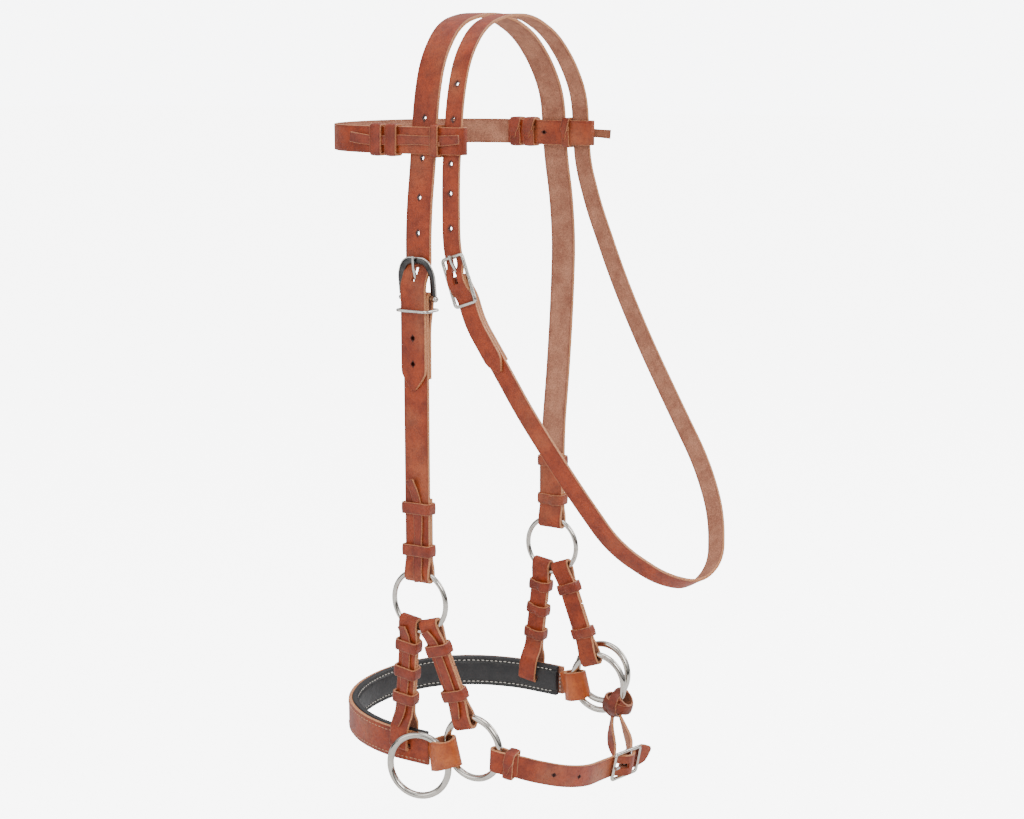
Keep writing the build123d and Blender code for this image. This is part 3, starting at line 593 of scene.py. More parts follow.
def bandLoop(name, centre, stackDir, alongDir, wideDir, wide, low, high, height,
             innerLow=True):
    # one leather band: its end is drawn over its start on the inner side
    centre, stackDir = Vector(centre), Vector(stackDir).normalized()
    alongDir, wideDir = Vector(alongDir).normalized(), Vector(wideDir).normalized()
    thick, gap = leather["bandThick"], 0.15
    inner, outer = (low, high) if innerLow else (high, low)
    away = 1 if outer > inner else -1
    inner -= away * (gap + thick / 2)
    outer += away * (gap + thick / 2)
    side = wide / 2 + gap + thick / 2
    lap = inner - away * (thick + 0.1)
    flat = [(inner, 5), (inner, -side), (outer, -side), (outer, side), (inner, side),
            (lap, 5.5), (lap, -5.5)]
    points = [centre + stackDir * s + wideDir * w for s, w in flat]
    route = makeRoute(points, alongDir, {1: 1.9, 2: 1.9, 3: 1.9, 4: 1.6}, step=15, run=2.0)
    flip = grainFlip(route, stackDir * away, farOf(route, centre + stackDir * outer))
    lean = dice.uniform(-0.5, 0.5)
    cross = height * 0.16

    def crossing(far, over, out):
        # both ends narrow where one goes through the other, and stand up a little each side of it
        left = route.length - far
        start, finish, hump = bell(far - 4, 3.2), bell(left - 4, 3.2), bell(left - 9.5, 3.0)
        swell = 0.45 * max(0.0, 1 - (2 * over / height) ** 2) if out > 0 else 0.0
        over = over * (1 - 0.45 * max(start, finish)) + cross * (start - finish)
        return (over + lean * sin(far * 0.11) * 0.9,
                out + swell + 0.9 * hump + 0.5 * start - 0.5 * finish)
    return strapPiece(name, route, height, thick, flip, tips=(0, 3), edge=0.62, cuts=6, shape=crossing)


bightShape = {"narrow": 26.5, "meet": 34.0, "lap": 84.0}


def cheekBight(x, side):
    # the cheek's fold round its upper ring, and the lap that runs back up
    top = rings["upperZ"]
    half = rings["upperWire"] / 2 + leather["slack"] + leather["crownThick"] / 2
    low = (top + sqrt((rings["bore"] / 2) ** 2 - (leather["crownWide"] / 2) ** 2) - half
           + rings["upperWire"] / 2)
    layer = (leather["crownThick"] + leather["gap"]) / 2
    narrow, meet, lap = [top + bightShape[key] for key in ("narrow", "meet", "lap")]
    return [(x + side * layer, 0, meet), (x + side * half, 0, narrow), (x + side * half, 0, low),
            (x - side * half, 0, low), (x - side * half, 0, narrow), (x - side * layer, 0, meet),
            (x - side * layer, 0, lap)]


crownShape = {"tip": 13, "holeSize": 3.3, "holeHeights": (-76, -103, -136, -160, -238, -258),
              "billetX": 112.8, "slotHeight": -192.2, "slotLong": 12.0, "slotWide": 3.8}


def makeCrown():
    x = crownShape["billetX"]
    near = [(x, -280), (x, -220), (x, -199), (105.1, -184), (105.2, -165), (103.2, -138),
            (98.7, -110), (92.9, -60), (84, -30), (62, -4), (28, 4), (-10, 3), (-48, -11),
            (-75, -34)]
    off = [(-92.9, -60), (-98.7, -110), (-108, -145), (-113, -185), (-110, -240), (-104, -296),
           (-97.6, -340), (-96.6, -362)]
    points = [(px, 0, pz) for px, pz in near + off] + cheekBight(rings["offX"], -1)
    last = len(points) - 1
    route = makeRoute(points, (0, 1, 0), {last - 3: 3.75, last - 4: 3.75, 2: 12, 3: 12})
    holes = [(farOf(route, (100, 0, z), 0.0, 0.3), crownShape["holeSize"])
             for z in crownShape["holeHeights"]]
    slots = [(farOf(route, (109, 0, crownShape["slotHeight"]), 0.0, 0.3),
              crownShape["slotLong"], crownShape["slotWide"])]
    strap = strapPiece("crownStrap", route, leather["crownWide"], leather["crownThick"], True,
                       tips=(crownShape["tip"], 0), holes=holes, slots=slots)
    place(strap, "headstall", ["crown_strap"], tanLeather)


cheekShape = {"heelX": 106.0, "heelZ": -210.0, "fold": 3.6, "inner": 106.4, "outer": 109.6,
              "lap": 62, "slotLong": 34, "slotWide": 4.6}


def makeNearCheek():
    heelX, heelZ, fold = cheekShape["heelX"], cheekShape["heelZ"], cheekShape["fold"]
    inner, outer = cheekShape["inner"], cheekShape["outer"]
    points = [(inner, heelZ - cheekShape["lap"]), (inner, heelZ - 22), (heelX - fold, heelZ - 5),
              (heelX - fold, heelZ + fold), (heelX + fold, heelZ + fold), (heelX + fold, heelZ - 5),
              (outer, heelZ - 22), (outer, -300)]
    points = [(px, 0, pz) for px, pz in points] + cheekBight(rings["nearX"], 1)
    last = len(points) - 1
    route = makeRoute(points, (0, 1, 0), {3: 3.4, 4: 3.4, last - 3: 3.75, last - 4: 3.75})
    slots = [(farOf(route, (heelX, 0, heelZ + 5), 0.0, 0.4),
              cheekShape["slotLong"], cheekShape["slotWide"])]
    strap = strapPiece("nearCheekStrap", route, leather["crownWide"], leather["crownThick"],
                       False, slots=slots)
    place(strap, "headstall", ["near_cheek_strap"], tanLeather)


throatShape = {"centre": (103.0, 35.0, -195.0), "down": (0, 0.33, -0.944), "long": 40.0,
               "wire": 2.8, "bar": -1.8, "fold": 2.75, "tip": 10, "holeSize": 3.1,
               "holes": ((26, -48), (26, -75), (26, -107), (27, -132), (28, -156))}


def throatAt(s, out):
    down = Vector(throatShape["down"]).normalized()
    return Vector(throatShape["centre"]) + down * s + Vector((out, 0, 0))


def makeThroat():
    thick, gap = leather["throatThick"], leather["gap"]
    bar, fold = throatShape["bar"], throatShape["fold"]
    end = throatShape["long"] / 2 - throatShape["wire"] / 2
    top = -(throatShape["wire"] + thick) / 2 - leather["slack"]
    over = bar + fold + thick + gap
    under = top - thick - gap
    lap = under - thick - gap
    outX = throatShape["centre"][0] + under
    billet = [(outX + thick + gap, 70, -262), throatAt(34, top), throatAt(end - 5.5, top),
              throatAt(4.5, over), throatAt(-4.5, over), throatAt(-end + 5.5, top),
              throatAt(-end - 3, top)]
    y = throatY
    arch = [(100.6, y + 1, -162), (99.4, y, -132), (98.7, y, -110), (92.9, y, -60), (83, y, -29),
            (60, y, -5), (28, y, 3), (-8, y, 3), (-46, y, -11), (-74, y, -34), (-92.9, y, -60),
            (-98.7, y, -110), (-100, y + 2, -124)]
    drop = [(-101, 36, -152), (-99, 62, -213), (-93, 90, -262), (-82, 126, -314),
            (-67, 158, -353), (-48, 181, -388), (-22, 194, -421), (8, 190, -433),
            (32, 173, -424), (58, 147, -398), (79, 127, -356), (90, 108, -322), (96, 88, -290),
            (outX, 71, -263)]
    chape = [throatAt(34, under), throatAt(end - 5.5, under), throatAt(4.5, bar + fold),
             throatAt(-fold, bar + fold), throatAt(-fold, bar - fold), throatAt(4.5, bar - fold),
             throatAt(end - 5.5, lap), throatAt(34, lap), (outX - thick - gap, 67, -257)]
    points = billet + arch + drop + chape
    slant, level, flatWide = (0, 0.87, 0.49), (0, 1, 0), (0, 0.944, 0.33)
    across = ([slant] + [flatWide] * 6 + [level] * 13 + [(0, 0.95, 0.25)] + [slant] * 13
              + [flatWide] * 8 + [slant])
    count = len(points)
    route = makeRoute(points, across, {count - 6: fold * 0.93, count - 5: fold * 0.93})
    holes = [(farOf(route, (98, hy, hz), 0.0, 0.35), throatShape["holeSize"])
             for hy, hz in throatShape["holes"]]
    slots = [(farOf(route, throatAt(-7, 0), 0.0, 0.3), 21, 4.4),
             (farOf(route, throatAt(0, bar), 0.8, 1.0), 24, 4.4)]
    strap = strapPiece("throatStrap", route, leather["throatWide"], thick, True,
                       tips=(throatShape["tip"], 0), holes=holes, slots=slots)
    place(strap, "headstall", ["throat_strap"], tanLeather)


browShape = {"play": 2.4, "hole": 2.4, "space": 1.5, "outerBands": (-39, -25), "outerTall": 10,
             "innerBand": 15.0, "innerTall": 6.6, "laceEnd": {"near": 29, "off": 47}}


def makeBrow():
    thick, gap, laceThick = leather["browThick"], leather["gap"], leather["laceThick"]
    out = leather["crownThick"] / 2 + browShape["play"] + thick / 2
    lap = out - thick - gap
    foldY = throatY + leather["throatWide"] / 2 + thick / 2 + browShape["space"]
    end = [(browHalf + lap, -47), (browHalf + lap, -18.5), (browHalf - out, -12.2),
           (browHalf - out, foldY), (browHalf + out, foldY)]
    half = [(browHalf + out, -56), (92, -82), (70, -106), (36, -120)]
    flat = end + half
    flat += [(0, -124)] + [(-x, y) for x, y in flat[::-1]]
    points = [(px, py, browZ) for px, py in flat]
    last = len(points) - 1
    small = {}
    for i, bend in ((3, out * 0.93), (4, out * 0.93), (1, 4), (2, 3), (5, 40)):
        small[i] = small[last - i] = bend
    route = makeRoute(points, (0, 0, 1), small)
    hole = farOf(route, (-browHalf + out, -6, browZ), 0.7, 1.0)
    strap = strapPiece("browStrap", route, leather["browWide"], thick, True,
                       holes=[(hole, browShape["hole"])])
    place(strap, "brow", ["browband"], tanLeather)
    xOut = browHalf + out
    stackOut = xOut + thick / 2 + gap + laceThick
    stackIn = xOut - thick * 1.5 - gap
    loopIn = browHalf - out - thick / 2
    bandPlaces = [(y, stackIn, browShape["outerTall"]) for y in browShape["outerBands"]]
    bandPlaces.append((browShape["innerBand"], loopIn, browShape["innerTall"]))
    for name, side in (("near", 1), ("off", -1)):
        loops = [bandLoop("band", (0, y, browZ), (side, 0, 0), (0, 1, 0), (0, 0, 1),
                          leather["browWide"], low, stackOut, height)
                 for y, low, height in bandPlaces]
        bands = joinPieces(loops, name + "BrowBands")
        place(bands, "brow", [name + "_brow_bands"], bandLeather)
        x = side * (xOut + (thick + laceThick) / 2 + gap)
        lift = side * 3
        endY = browShape["laceEnd"][name]
        points = [(x + lift, -62, browZ + 2), (x + 0.4 * side, -48, browZ), (x, -20, browZ),
                  (x, 20, browZ), (x, endY - 12, browZ), (x + lift * 1.2, endY + 1, browZ - 1)]
        if side > 0:
            points[-1] = (x + 1.4, endY + 8, browZ + 2)
        layLace(name + "BrowLace", makeRoute(points, (0, 0, 1)), (side, 0, 0), "brow",
                name + "_brow_lace")


cheekBandHeights = (-374, -407.8)


def makeCheekBands():
    thick, gap, laceThick = leather["crownThick"], leather["gap"], leather["laceThick"]
    half = rings["upperWire"] / 2 + leather["slack"] + thick / 2
    over = thick + gap * 1.5 + laceThick / 2
    out = half + (thick + laceThick) / 2 + gap
    flat = [(over + 3.0, 4, -351), (over + 0.6, 1, -360), (over, -1.5, -370),
            (over, -1.5, -416), (out, -2.5, -423.5), (out + 0.8, -4, -432)]
    for name, x, side in (("near", rings["nearX"], 1), ("off", rings["offX"], -1)):
        loops = [bandLoop("band", (x, 0, z), (side, 0, 0), (0, 0, 1), (0, 1, 0),
                          leather["crownWide"], -(thick + gap / 2), thick + gap * 1.5 + laceThick,
                          leather["bandWide"])
                 for z in cheekBandHeights]
        bands = joinPieces(loops, name + "CheekBands")
        place(bands, "headstall", [name + "_cheek_bands"], bandLeather)
        points = [(x + side * px, -py, pz) for px, py, pz in flat]
        layLace(name + "CheekLace", makeRoute(points, (0, 1, 0)), (side, 0, 0), "headstall",
                name + "_cheek_lace")


makeCrown()
makeNearCheek()
makeThroat()
makeBrow()
makeCheekBands()
print("head straps made")


strutShape = {"turn": 32.0, "rearTurn": 20, "dip": 4.2, "slitY": -24.0, "slitZ": -577.0,
              "slack": 1.9, "join": 17, "lap": 40, "frontSpread": 30, "rearSpread": 20,
              "frontBands": (24, 47, 70), "rearFirst": 24, "rearLast": 29}


def inRing(centre, depth, turn, up):
    # where a strut's fold lies inside a ring, turned toward the front or the rear
    x, y, z = centre
    return Vector((x, y - up * depth * sin(radians(turn)), z + up * depth * cos(radians(turn))))


def makeStrut(side, name, top, bottom, low, high, spread, places, bulge):
    thick, gap, laceThick = leather["strutThick"], leather["gap"], leather["laceThick"]
    join, lapEnd = strutShape["join"], strutShape["lap"]
    node = name.replace("Front", "_front").replace("Rear", "_rear") + "_strut"
    travel = (bottom - top).normalized()
    length = (bottom - top).length
    outward = Vector((1, 0, 0))
    outward = (outward - travel * outward.dot(travel)).normalized()
    wide = outward.cross(travel)
    half = rings["upperWire"] / 2 + leather["slack"] + thick / 2
    mid = (thick + gap) / 2
    lean = (low + high) / 2 * 0.75
    lapLean = lean * (lapEnd - join) / (length - spread - join)
    fork = length - spread
    flat = [(-mid + lapLean, lapEnd), (-mid, join), (-half, 9), (-half, 0), (half, 0), (half, 9),
            (mid, join), (lean + mid, fork), (high, fork + 9), (high, length), (low, length),
            (low, fork + 9), (lean - mid, fork), (-mid + lapLean, lapEnd + 0.5)]
    bend = 0.93 * (high - low) / 2
    bend = 3.5 if bend > 5 else bend
    points = [top + outward * px + travel * py for px, py in flat]
    route = makeRoute(points, wide, {3: half * 0.93, 4: half * 0.93, 9: bend, 10: bend})
    flip = grainFlip(route, outward, farOf(route, top + outward * mid + travel * 40, 0.1, 0.5))
    strap = strapPiece(name + "Strap", route, leather["strutWide"], thick, flip)
    place(strap, "nose", [node], tanLeather)
    loops = []
    for spot in places:
        share = max(0.0, min(1.0, (spot - join) / (length - join - spread)))
        reach = thick + gap / 2
        lowSide, highSide = lean * share - reach, lean * share + reach
        if side > 0:
            highSide += laceThick + gap
        else:
            lowSide -= laceThick + gap
        loops.append(bandLoop("band", top + travel * spot, outward, travel, wide,
                              leather["strutWide"], lowSide - 0.2, highSide + 0.2,
                              leather["bandWide"], innerLow=side > 0))
    bands = joinPieces(loops, name + "Bands")
    place(bands, "nose", [node + "_bands"], bandLeather)
    over = side * (thick + gap * 2 + laceThick / 2)
    tail = length - spread - 6
    flat = [(over + side * 3.4, places[0] - 17, -3.5), (over + side * 0.6, places[0] - 8, -0.8),
            (over, places[0], 0), (lean * 0.9 + over, tail - 2, 0),
            (lean + over + bulge * 0.6, tail + 6, -0.8), (lean + over + bulge * 1.5, tail + 15, -3.0)]
    points = [top + outward * px + travel * py + wide * pw for px, py, pw in flat]
    layLace(name + "Lace", makeRoute(points, wide), outward * side, "nose", node + "_lace")


def makeStruts():
    thick, gap, turn = leather["strutThick"], leather["gap"], strutShape["turn"]
    inStack = noseHalf - gap / 2 - leather["padThick"] - strutShape["slack"] - thick / 2
    outStack = noseHalf + gap / 2 + leather["faceThick"] + strutShape["slack"] + thick / 2
    depth = rings["bore"] / 2 - strutShape["dip"] - thick / 2
    half = rings["lowerWire"] / 2 + leather["slack"] + thick / 2
    for name, side, x in (("near", 1, rings["nearX"]), ("off", -1, rings["offX"])):
        upper = (x, 0, rings["upperZ"])
        slit = Vector((side * noseHalf, strutShape["slitY"], strutShape["slitZ"]))
        low, high = sorted((side * (inStack - noseHalf), side * (outStack - noseHalf)))
        makeStrut(side, name + "Front", inRing(upper, depth, -turn, -1), slit, low, high,
                  strutShape["frontSpread"], strutShape["frontBands"], side * 3.5)
        top = inRing(upper, depth, turn, -1)
        bottom = inRing(rings[name + "Join"][0], depth, strutShape["rearTurn"], 1)
        bandSpots = (strutShape["rearFirst"], (bottom - top).length - strutShape["rearLast"])
        makeStrut(side, name + "Rear", top, bottom, -half, half, strutShape["rearSpread"],
                  bandSpots, side * 2.0)


makeStruts()
print("struts made")


noseShape = {"loopY": {1: 19.0, -1: 25.0}, "lean": 15.0, "loopHalf": 7.9, "rowInset": 3.2,
             "liningRow": 3.6, "liningWide": 27.0, "endAt": 16, "liningShort": 4.0,
             "slot": (18.0, 4.2)}


def noseRoute(distance, shorten=0.0):
    side = [(100, -38), (88, -74), (64, -104), (32, -119)]
    nearEnd, offEnd = [noseShape["loopY"][k] - noseShape["endAt"] - shorten for k in (1, -1)]
    mids = ([(noseHalf, nearEnd)] + side + [(0, -123)] + [(-x, y) for x, y in side[::-1]]
            + [(-noseHalf, offEnd)])
    moved = []
    for i, (x, y) in enumerate(mids):
        before, after = mids[max(i - 1, 0)], mids[min(i + 1, len(mids) - 1)]
        m = Vector((x - before[0], y - before[1])) if i else Vector((after[0] - x, after[1] - y))
        k = Vector((after[0] - x, after[1] - y)) if i < len(mids) - 1 else m
        m, k = Vector((-m.y, m.x)).normalized(), Vector((-k.y, k.x)).normalized()
        shift = (m + k) * (distance / (1 + m.dot(k)))
        moved.append((x + shift.x, y + shift.y, noseZ))
    return makeRoute(moved, (0, 0, 1), run=3.0)


def makeNoseFace():
    thick, gap = leather["faceThick"], leather["gap"]
    route = noseRoute((thick + gap) / 2)
    slots = [(farOf(route, (side * 101.6, strutShape["slitY"], noseZ)), *noseShape["slot"])
             for side in (1, -1)]
    flip = grainFlip(route, (0, -1, 0), route.length / 2)
    face = strapPiece("noseFace", route, leather["noseWide"], thick, flip, slots=slots)
    place(face, "nose", ["noseband_face"], tanLeather)
    inset = leather["noseWide"] / 2 - noseShape["rowInset"]
    for i, row in enumerate((-inset, inset)):
        stitches = stitchRow("noseFaceStitches%d" % i, route, row, thick / 2 + 0.1, flip,
                             start=2, end=route.length - 2, material=tanThread)
        place(stitches, "nose")
    lean = radians(noseShape["lean"])
    half = noseShape["loopHalf"]
    faceX = noseHalf + thick / 2 + gap / 2
    lapX = faceX - thick - gap
    centre = noseHalf - 1.2
    flat = [(faceX, -15.3), (faceX, -14.5), (centre + half, -6), (centre + half, half),
            (centre - half, half), (centre - half, -6), (lapX, -12.5), (lapX, -15)]
    for name, side in (("near", 1), ("off", -1)):
        points = [(side * px, noseShape["loopY"][side] + py * cos(lean), noseZ + py * sin(lean))
                  for px, py in flat]
        across = [(0, 0, 1)] * 2 + [(0, -sin(lean), cos(lean))] * 4 + [(0, 0, 1)] * 2
        route = makeRoute(points, across, {3: half * 0.94, 4: half * 0.94})
        flip = grainFlip(route, (side, 0, 0), 14)
        foldAt = farOf(route, points[3])
        loop = strapPiece(name + "EndLoop", route, leather["noseWide"], thick, flip, edge=1.1,
                          narrow=lambda far: 1 - 0.17 * bell(far - foldAt, 11))
        # the end loops take the lighter copy of the tan leather, a painted highlight on their bends
        place(loop, "nose", ["noseband_face"], paintedLitLoopLeather)


def makeLining():
    thick, gap = leather["padThick"], leather["gap"]
    route = noseRoute(-(thick + gap) / 2, noseShape["liningShort"])
    half = noseShape["liningWide"] / 2
    flip = grainFlip(route, (0, 1, 0), route.length / 2)
    row = half - noseShape["liningRow"]
    slots = [(farOf(route, (side * 97.4, strutShape["slitY"], noseZ)), *noseShape["slot"])
             for side in (1, -1)]

    def padded(far, over, out):
        # crowned between the rows, drawn in at each row, rolled at both edges
        edge = abs(over) / half
        crown = 0.9 * (1 - edge ** 2)
        groove = 1.5 * sum(bell(over - r, 1.1) for r in (-row, row))
        pucker = 0.16 * sin(far * 2 * pi / 4.2) * bell(abs(over) - row, 2.4)
        soft = 0.22 * sin(far * 0.21 + 1.3) + 0.15 * sin(far * 0.43 + over * 0.3)
        if out > 0:
            return over, out - 0.35 + crown - groove + pucker + soft * (1 - edge)
        return over, out
    lining = strapPiece("noseLining", route, noseShape["liningWide"], thick, flip, slots=slots,
                        cuts=28, edge=1.9, shape=padded)
    place(lining, "nose", ["noseband_padding"], blackLining, smooth=60)
    for i, over in enumerate((-row, row)):
        stitches = stitchRow("liningStitches%d" % i, route, over, thick / 2 - 0.75, flip,
                             start=3, end=route.length - 3, thick=1.05, long=3.0)
        place(stitches, "nose")


def makeEndSeams():
    # a short row across the noseband where the lining meets each end loop
    for name, side in (("near", 1), ("off", -1)):
        y = noseShape["loopY"][side] - noseShape["endAt"] - noseShape["liningShort"] + 1.6
        x = side * (noseHalf - leather["gap"] - 0.4)
        route = makeRoute([(x, y, noseZ - 10.5), (x, y, noseZ + 10.5)], (0, 1, 0), run=2)
        flip = grainFlip(route, (-side, 0, 0), 4)
        seam = stitchRow(name + "EndSeam", route, 0, 0.6, flip, spacing=3.6, long=2.6,
                         thick=0.8)
        place(seam, "nose")


makeNoseFace()
makeLining()
makeEndSeams()
print("noseband made")


chinShape = {"centre": (-42.5, 104.5, -613.0), "travel": (-0.99, 0.08, -0.09),
             "up": (-0.08, 0.15, 1), "long": 40.0, "wire": 3.0, "bar": -1.8, "fold": 2.95,
             "knot": (-100.0, 65.0, -585.0), "tip": 9, "tailWide": 12, "holeSize": 3.0,
             "holes": ((64, 96.5, -589), (32, 102, -600))}
chinTravel = Vector(chinShape["travel"]).normalized()
chinUp = Vector(chinShape["up"]).normalized()
chinUp = (chinUp - chinTravel * chinUp.dot(chinTravel)).normalized()
chinFace = chinTravel.cross(chinUp)


def chinAt(s, out):
    return Vector(chinShape["centre"]) + chinTravel * s + chinFace * out


def makeChin():
    thick, wide = leather["chinThick"], leather["chinWide"]
    wire, bar, fold = chinShape["wire"], chinShape["bar"], chinShape["fold"]
    end = chinShape["long"] / 2 - wire / 2
    under = -(wire + thick) / 2 - leather["slack"]
    over = bar + fold + thick + leather["gap"]
    (x, ringY, ringZ), axis = rings["nearJoin"]
    half = rings["lowerWire"] / 2 + leather["slack"] + thick / 2
    y0, z0 = ringY + lowerMid - 4.6, ringZ - 4.5
    points = [(x - half + 2.6, y0 + 21, z0 - 2), (x - half, y0 + 9, z0 - 1),
              (x - half, y0 - half + 2.2, z0), (x + half, y0 - half + 2.2, z0),
              (x + half, y0 + 9, z0 - 1), (x - 1.2, y0 + 20, z0 - 3),
              (82, 90, -581), (54, 99, -593), (22, 103, -603), chinAt(-end - 11, under),
              chinAt(-end + 5.5, under), chinAt(-4.5, over), chinAt(4.5, over), chinAt(end - 5.5, under),
              chinAt(end + 6, under), chinAt(end + 18, under + 3) + chinUp * 6]
    across = [(0, 0.05, 1)] * 6 + [(0, 0.1, 1)] * 3 + [tuple(chinUp)] * 7
    route = makeRoute(points, across, {2: half * 0.93, 3: half * 0.93})
    holes = [(farOf(route, spot, 0.3, 0.8), chinShape["holeSize"])
             for spot in chinShape["holes"]]
    slots = [(farOf(route, chinAt(-8, 0), 0.6, 1.0), 16, 4.4)]
    flip = grainFlip(route, (0, 1, 0), farOf(route, (22, 103, -603)))
    strap = strapPiece("chinStrap", route, wide, thick, flip, tips=(0, chinShape["tip"]),
                       holes=holes, slots=slots)
    place(strap, "nose", ["chin_strap"], tanLeather)

    points = [chinAt(2, bar + fold), chinAt(-fold, bar + fold), chinAt(-fold, bar - fold),
              chinAt(6, bar - fold), chinAt(16, bar - fold - 2), (-76, 90, -609),
              (-95, 71, -598)]
    across = [tuple(chinUp)] * 5 + [(0.45, 0.5, 0.6), (0.75, 0.5, 0.2)]
    route = makeRoute(points, across, {1: fold * 0.93, 2: fold * 0.93})
    slots = [(farOf(route, chinAt(-3, bar)), 13, 4.6)]
    flip = grainFlip(route, -chinFace, route.length * 0.3)
    strap = strapPiece("chinChape", route, wide - 4, thick, not flip, slots=slots)
    place(strap, "nose", ["chin_chape"], tanLeather)

    points = [(-101, 60, -592), (-98, 59.5, -607), (-96, 61, -621), (-93, 66, -633)]
    across = [(0.8, 0.5, 0.2), (0.7, 0.6, 0.1), (0.4, 0.9, 0.1), (0.4, 0.9, 0.2)]
    route = makeRoute(points, across)

    def leaf(far):
        # a narrow neck that opens into a leaf
        share = far / route.length
        if share <= 0.35:
            return 0.62
        return 0.62 + 0.38 * sin(pi * min(1, max(0, (share - 0.35) / 0.65)) ** 0.8)
    flip = grainFlip(route, (1, 0.2, 0), 10)
    strap = strapPiece("chinTail", route, chinShape["tailWide"], thick * 0.9, flip,
                       tips=(0, 10), narrow=leaf)
    place(strap, "nose", ["chin_tail"], tanLeather)

    travel = Vector((-2.5, 14, -2)).normalized()
    stack = Vector((1, 0.15, 0))
    stack = (stack - travel * stack.dot(travel)).normalized()
    keeper = bandLoop("chinKeeper", (x - 0.3, ringY + lowerMid + 10.5, ringZ - 6.4), stack, travel,
                      stack.cross(travel), wide + 0.6, -5.9, 5.0, 8, innerLow=False)
    place(keeper, "nose", ["chin_keeper"], bandLeather)


def wrapTurn(centre, axis, first, second, radiusA, radiusB, wide):
    # one turn of the knot: an oval band in the plane of first and second
    points = []
    for k in range(17):
        angle = 2 * pi * k / 16
        rise = 0.9 * k / 16
        points.append(centre + first * cos(angle) * (radiusA + rise)
                      + second * sin(angle) * (radiusB + rise))
    route = makeRoute(points, axis.normalized())
    flip = grainFlip(route, first, 0.5)
    return strapPiece("turn", route, wide, 2.4, flip, edge=0.7, cuts=6,
                      shape=lambda far, over, out: (over, out - 0.035 * over * over * 0.6))


def makeKnot():
    centre = Vector(chinShape["knot"])
    along = Vector((0, 0.77, 0.64)).normalized()
    acrossRing = Vector((0, 0.64, -0.77)).normalized()
    x = Vector((1, 0, 0))
    slantA = (along * 0.55 + acrossRing * 0.83).normalized()
    slantB = (along * -0.75 + acrossRing * 0.66).normalized()
    turns = [wrapTurn(centre - along * 6.2, along + x * 0.12, x, acrossRing, 8.4, 8.0, 9.5),
             wrapTurn(centre + along * 5.6, along - x * 0.1, x, acrossRing, 8.2, 8.2, 9.0),
             wrapTurn(centre + acrossRing * 0.5, x.cross(slantA), x, slantA, 10.4, 12.2, 9.0),
             wrapTurn(centre + along * 0.8, x.cross(slantB), x, slantB, 12.0, 11.5, 8.0)]
    knot = joinPieces(turns, "chinKnot")
    place(knot, "nose", ["chin_knot"], darkLace)


makeChin()
makeKnot()
print("chin strap made")


def makeRings():
    upper = (upperMid, rings["upperWire"])
    lower = (lowerMid, rings["lowerWire"])
    top = rings["upperZ"]
    for node, name, centre, axis, mid, wire in (
            ("near_upper_ring", "nearUpperRing", (rings["nearX"], 0, top), (1, 0, 0), *upper),
            ("off_upper_ring", "offUpperRing", (rings["offX"], 0, top), (1, 0, 0), *upper),
            ("near_rein_ring", "nearReinRing", *rings["nearRein"], *lower),
            ("near_connecting_ring", "nearJoinRing", *rings["nearJoin"], *lower),
            ("off_rein_ring", "offReinRing", *rings["offRein"], *lower),
            ("off_connecting_ring", "offJoinRing", *rings["offJoin"], *lower)):
        piece = torusPiece(name, centre, axis, mid, wire)
        place(piece, node + "_body", [node], nickel, smooth=60)


def planePoint(origin, xDir, yDir, zDir, x, y, z):
    return Vector(origin) + xDir * x + yDir * y + zDir * z


cartShape = {"origin": (106.0, 0.0, -210.0), "tilt": 7.0, "mid": 14.4, "wide": 5.4,
             "thick": 2.9, "top": 29.4, "rim": 0.62, "capAt": 15.2, "cap": 2.5}


def makeCheekBuckle():
    # a domed dark frame with a bright line round it, open at the bar
    tilt = radians(cartShape["tilt"])
    xDir, zDir = Vector((0, 1, 0)), Vector((cos(tilt), 0, -sin(tilt)))
    yDir = zDir.cross(xDir)
    mid, top, rim = cartShape["mid"], cartShape["top"], cartShape["rim"]

    def arch(grow, height):
        wide, high = mid + grow, top + grow
        flat = [(-wide, 2.6), (-wide, high * 0.66), (-wide * 0.62, high), (wide * 0.62, high),
                (wide, high * 0.66), (wide, 2.6)]
        points = [planePoint(cartShape["origin"], xDir, yDir, zDir, x, y, height)
                  for x, y in flat]
        return makeRoute(points, zDir, run=1.6, step=7)
    frameTube = layTube("cheekBuckle", arch(0, 0), cartShape["thick"] / 2, closed=False,
                        around=24, squash=cartShape["wide"] / cartShape["thick"])
    place(frameTube, "headstall", ["cheek_buckle_frame"], darkSteel, smooth=60)
    rimTube = layTube("cheekBuckleRim", arch(cartShape["wide"] / 2 - 0.5, 0.35), rim,
                      closed=False, around=10)
    place(rimTube, "headstall", material=wornNickel, smooth=60)
    caps = []
    for side in (-1, 1):
        clearSelection()
        bpy.ops.mesh.primitive_uv_sphere_add(segments=20, ring_count=12,
                                             radius=cartShape["cap"] * mm)
        cap = bpy.context.object
        spot = planePoint(cartShape["origin"], xDir, yDir, zDir, side * cartShape["capAt"], 0, 0)
        cap.data.transform(Matrix.Translation(spot * mm) @ Matrix.Diagonal((1, 1.15, 1, 1)))
        caps.append(cap)
    piece = joinPieces(caps, "cheekBuckleBarEnds")
    place(piece, "headstall", material=wornNickel, smooth=50)


def makeWireBuckle(name, node, body, origin, xDir, yDir, zDir, long, inside, wire, bar):
    half, reach = (inside + wire) / 2, long / 2 - wire / 2
    flat = [(0, -reach), (half, -reach), (half, reach), (-half, reach), (-half, -reach), (0, -reach)]
    points = [planePoint(origin, xDir, yDir, zDir, x, y, 0) for x, y in flat]
    route = makeRoute(points, zDir, {1: 2.4, 2: 2.4, 3: 2.4, 4: 2.4}, run=2, step=12)
    frameTube = layTube(name, route, wire / 2, closed=True, around=16)
    points = [planePoint(origin, xDir, yDir, zDir, x, 0, bar) for x in (-half, half)]
    barTube = layTube(name + "Bar", makeRoute(points, zDir, run=2), 1.3, closed=False)
    piece = joinPieces([frameTube, barTube], name)
    place(piece, body, [node], nickel, smooth=60)


